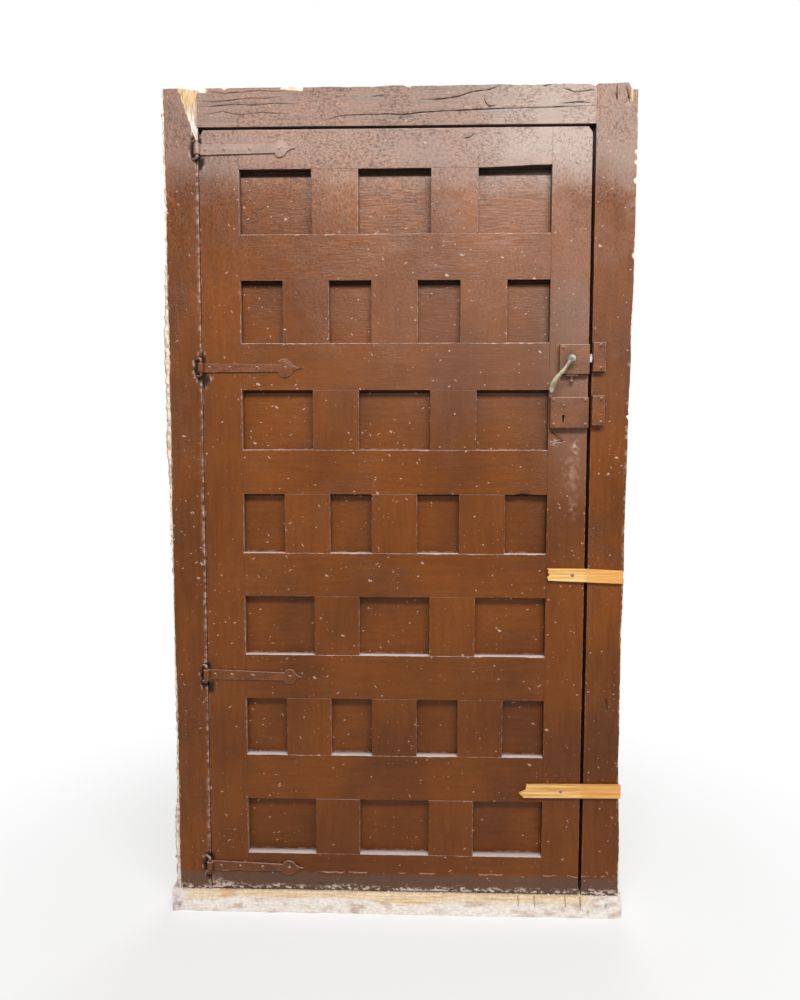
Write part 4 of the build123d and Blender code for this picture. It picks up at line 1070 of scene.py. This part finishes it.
# Lime plaster left along the hinge-side jamb's outer edge: height, and how far it stands out
plaster_profile = (
    (0.062, 0.0090), (0.16, 0.0115), (0.225, 0.0125), (0.30, 0.0065), (0.42, 0.0040), (0.62, 0.0030),
    (0.86, 0.0025), (0.99, 0.0070), (1.11, 0.0065), (1.23, 0.0130), (1.35, 0.0110), (1.47, 0.0125),
    (1.59, 0.0090), (1.70, 0.0055), (1.82, 0.0035), (1.88, 0.0015), (1.94, 0.0050), (2.05, 0.0065),
    (2.088, 0.0030),
)


def plaster_edge():
    """A ragged strip of plaster on the jamb's outer face, thicker where the profile says so."""
    heights, reaches = zip(*plaster_profile)
    rows = np.arange(heights[0], heights[-1], 0.0045)
    rooted = 0.004
    section = (
        (rooted, 0.0035), (-0.55, 0.0030), (-1.0, 0.0100), (-0.95, 0.0260), (-0.3, 0.0440), (rooted, 0.0460),
    )
    corners = []
    for z in rows:
        out = np.interp(z, heights, reaches)
        for share, depth in section:
            x = jamb_x0 + (share if share > 0 else share * out)
            corners.append((x, face_y + depth, z))
    co = np.array(corners)
    outer = np.tile([share < 0 for share, _ in section], len(rows))
    lumps = 0.0022 * field(co, (0.02, 0.02, 0.013), 31) + 0.0014 * field(co, (0.02, 0.02, 0.0055), 32)
    co[:, 0] = np.clip(co[:, 0] + outer * lumps, cad_box[0].x + 0.001, jamb_x0 + rooted)
    co[:, 1] += outer * 0.0022 * field(co, (0.02, 0.02, 0.011), 33)
    count = len(section)
    faces = [
        (r * count + i, r * count + (i + 1) % count, (r + 1) * count + (i + 1) % count, (r + 1) * count + i)
        for r in range(len(rows) - 1)
        for i in range(count)
    ]
    faces += [tuple(range(count)), tuple(reversed(range((len(rows) - 1) * count, len(rows) * count)))]
    mesh = bpy.data.meshes.new("jamb_plaster")
    mesh.from_pydata([tuple(c) for c in co], [], faces)
    shape = bmesh.new()
    shape.from_mesh(mesh)
    bmesh.ops.recalc_face_normals(shape, faces=shape.faces)
    piece_from("jamb_plaster", mesh_of(shape, "jamb_plaster"), plaster_finish, "frame")


plaster_edge()

# Saw cuts and nail holes in the sill board's front
saw_cut_places = (0.318, 0.360, 0.440, 0.479)
nail_hole_places = ((-0.517, 0.038), (-0.575, 0.018), (0.544, 0.036), (0.500, 0.017))
sill_scars = [(((x, 0.058), (x + 0.002, 0.030)), 0.0020, 0.004) for x in saw_cut_places]
sill_scars += [(((x, z), (x + 0.003, z - 0.002)), 0.0030, 0.006) for x, z in nail_hole_places]


def worn_sill(co, marks):
    for path, half_width, depth in sill_scars:
        distance, _ = path_distance(co, path)
        pressed = fade(distance, half_width) * (co[:, 1] < sill_face_y + 0.002)
        co[:, 1] += pressed * depth
        deepen(marks, "crevice", pressed * 0.8)
    lumps = 0.5 + 0.5 * field(co, (0.045, 0.3, 0.012), 77)
    front = co[:, 1] < sill_face_y + 0.004
    co[:, 1] += front * lumps * 0.0016
    low_edge = fade(co[:, 2], 0.012) * front
    co[:, 1] += low_edge * (0.5 + 0.5 * field(co, (0.03, 0.3, 0.3), 78)) * 0.004


sill_board = Timber("sill_board", sill_step, "frame", sill_finish, "raw_board")
sill_board.front = sill_face_y
sill_low, sill_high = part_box("sill_board")
sill_board.arris(2, 1, sill_high.z, 0.0025).arris(2, -1, sill_low.z, 0.002)
sill_board.arris(0, -1, sill_low.x, 0.003).arris(0, 1, sill_high.x, 0.003)
for x in saw_cut_places:
    sill_board.extra[0].extend([x - 0.002, x, x + 0.002, x + 0.004])
for x, _ in nail_hole_places:
    sill_board.extra[0].extend([x - 0.003, x, x + 0.003])
sill_board.build(701, worn_sill, uneven=0.0)


crumbs_x = (jamb_x0 + 0.01, 0.560)


def crumbs(count, seed):
    """Crumbs of plaster and paint lying along the front of the sill board, under the leaf."""
    random = np.random.default_rng(seed)
    shape = bmesh.new()
    for _ in range(count):
        size = 0.0011 + 0.0022 * random.random() ** 2
        x = random.uniform(*crumbs_x)
        y = random.uniform(sill_face_y + 0.0035, face_y + 0.0015)
        place = Matrix.Translation((x, y, sill_high.z + size * 0.25))
        made = bmesh.ops.create_icosphere(shape, subdivisions=1, radius=size, matrix=place)
        for vertex in made["verts"]:
            vertex.co += Vector(random.uniform(-0.3, 0.3, 3)) * size
            vertex.co.z = max(vertex.co.z, sill_high.z - 0.0004)
    piece_from("sill_crumbs", mesh_of(shape, "sill_crumbs"), plaster_finish, "frame")


crumbs(260, 41)

# Ironwork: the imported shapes, under the same paint as the timber, with their arrises worn


def forged(node, material, body, width):
    """A forged iron piece with softened edges."""
    shape = welded(node, 0.01)
    sharp = [
        edge
        for edge in shape.edges
        if len(edge.link_faces) == 2
        and edge.calc_face_angle() > 0.9
        and any(face.normal.y < -0.9 for face in edge.link_faces)
    ]
    bmesh.ops.bevel(
        shape, geom=sharp, offset=width, segments=2, profile=0.6, affect="EDGES", clamp_overlap=True
    )
    mesh = mesh_of(shape, node)
    mesh.shade_smooth()
    mesh.set_sharp_from_angle(angle=0.6)
    return piece_from("worn_" + node, mesh, material, body, [node])


for number in (1, 2, 3, 4):
    forged(f"strap_{number}", iron_paint, "leaf", 0.0010)


painted_iron_nodes = [
    *(f"pintle_{number}" for number in (1, 2, 3, 4)),
    "strap_nails", "latch_case", "latch_plate", "lock_case", "lock_plate", "lock_screws",
    "latch_keeper", "lock_keeper", "keeper_screws", "snib", "lock_guide_pin",
]
plain_steel_nodes = ("latch_cam", "dead_bolt", "lock_spring", "sill_nails", "batten_nails")
for names, material in (
    (painted_iron_nodes, iron_paint),
    (plain_steel_nodes, plain_steel),
    (["handle"], brass),
    (["latch_bolt"], bright_steel),
    (["upper_batten", "lower_batten"], lath_pine),
):
    for name in names:
        dress(nodes[name].data, material)

# Camera: the photograph's viewpoint, found from the heights and widths of the panels
camera_place = Vector((0.0694, -2.0528, 1.2576))
camera_left = math.radians(1.715)
camera_down = math.radians(4.672)
camera_roll = math.radians(0.064)
focal_pixels = 800.0
picture_height = 1000.0
camera_data = bpy.data.cameras.new("camera")
camera_data.sensor_width = 36.0
camera_data.lens = camera_data.sensor_width * focal_pixels / picture_height
camera = placed("camera", camera_data)
camera.matrix_world = (
    Matrix.Translation(camera_place)
    @ Matrix.Rotation(camera_left, 4, "Z")
    @ Matrix.Rotation(math.pi / 2 - camera_down, 4, "X")
    @ Matrix.Rotation(camera_roll, 4, "Z")
)
bpy.context.scene.camera = camera


# Light: a bright high strip at the right for the sheen, a broad soft one from the left, a plain pale room
def lamp(name, place, target, width, height, watts, colour=(1, 1, 1)):
    data = bpy.data.lights.new(name, "AREA")
    data.shape = "RECTANGLE"
    data.size, data.size_y, data.energy, data.color = width, height, watts, colour
    item = placed(name, data)
    item.location = place
    item.rotation_euler = (Vector(target) - Vector(place)).to_track_quat("-Z", "Y").to_euler()


lamp("sheen_lamp", (0.45, -2.3, 2.98), (0.15, 0.0, 1.75), 2.6, 0.6, 98.0)
lamp("left_lamp", (-2.4, -2.6, 2.0), (0.0, 0.0, 0.9), 1.6, 1.6, 8.0)
lamp("back_lamp", (0.6, 3.0, 2.6), (0.0, 0.0, 1.1), 2.0, 1.6, 50.0)


def light_path_mix(tree, seen, unseen):
    """Link the seen shader for the camera, reflections and glass, and the unseen one for all other light."""
    path = tree.nodes.new("ShaderNodeLightPath")
    factor = path.outputs["Is Camera Ray"]
    for name in ("Is Glossy Ray", "Is Transmission Ray"):
        both = tree.nodes.new("ShaderNodeMath")
        both.operation = "MAXIMUM"
        tree.links.new(factor, both.inputs[0])
        tree.links.new(path.outputs[name], both.inputs[1])
        factor = both.outputs[0]
    mixer = tree.nodes.new("ShaderNodeMixShader")
    tree.links.new(factor, mixer.inputs[0])
    tree.links.new(unseen, mixer.inputs[1])
    tree.links.new(seen, mixer.inputs[2])
    return mixer.outputs[0]


world = bpy.data.worlds.new("studio")
world.use_nodes = True
bpy.context.scene.world = world
world_tree = world.node_tree
room = world_tree.nodes["Background"]
room.inputs["Color"].default_value = (1.0, 0.97, 0.94, 1.0)
room.inputs["Strength"].default_value = 0.26
white = world_tree.nodes.new("ShaderNodeBackground")
white.inputs["Color"].default_value = (1.0, 1.0, 1.0, 1.0)
white.inputs["Strength"].default_value = 1.0
world_out = light_path_mix(world_tree, white.outputs[0], room.outputs[0])
world_tree.links.new(world_out, world_tree.nodes["World Output"].inputs["Surface"])

floor_mesh = bpy.data.meshes.new("floor")
reach = 9.0
corners = [(-reach, -reach, 0), (reach, -reach, 0), (reach, reach, 0), (-reach, reach, 0)]
floor_mesh.from_pydata(corners, [], [(0, 1, 2, 3)])
floor = placed("floor", floor_mesh)
floor_shader = Shader("floor_finish", Roughness=1.0, Specular_IOR_Level=0.0)
floor_tone = floor_shader.noise(0.8, detail=2.0)
floor_shader.finish(floor_shader.mix((0.90, 0.90, 0.90), (0.94, 0.94, 0.94), floor_tone))
from_door = floor_shader.add("ShaderNodeVectorMath", {0: floor_shader.place}, "Value", operation="LENGTH")
whiteness = from_door.level(0.7, 1.7).between(0.55, 1.0)
bare_white = {"Color": (1.0, 1.0, 1.0, 1.0), "Strength": 1.0}
bare_white = floor_shader.add("ShaderNodeEmission", bare_white)
lit_floor = Value(floor_shader, floor_shader.surface.outputs[0])
seen_floor = floor_shader.add("ShaderNodeMixShader", {0: whiteness, 1: lit_floor, 2: bare_white})
floor_out = light_path_mix(floor_shader.tree, seen_floor.socket, lit_floor.socket)
floor_surface = floor_shader.tree.nodes["Material Output"].inputs["Surface"]
floor_shader.tree.links.new(floor_out, floor_surface)
floor_mesh.materials.append(floor_shader.material)

bpy.context.scene.view_settings.view_transform = "Standard"
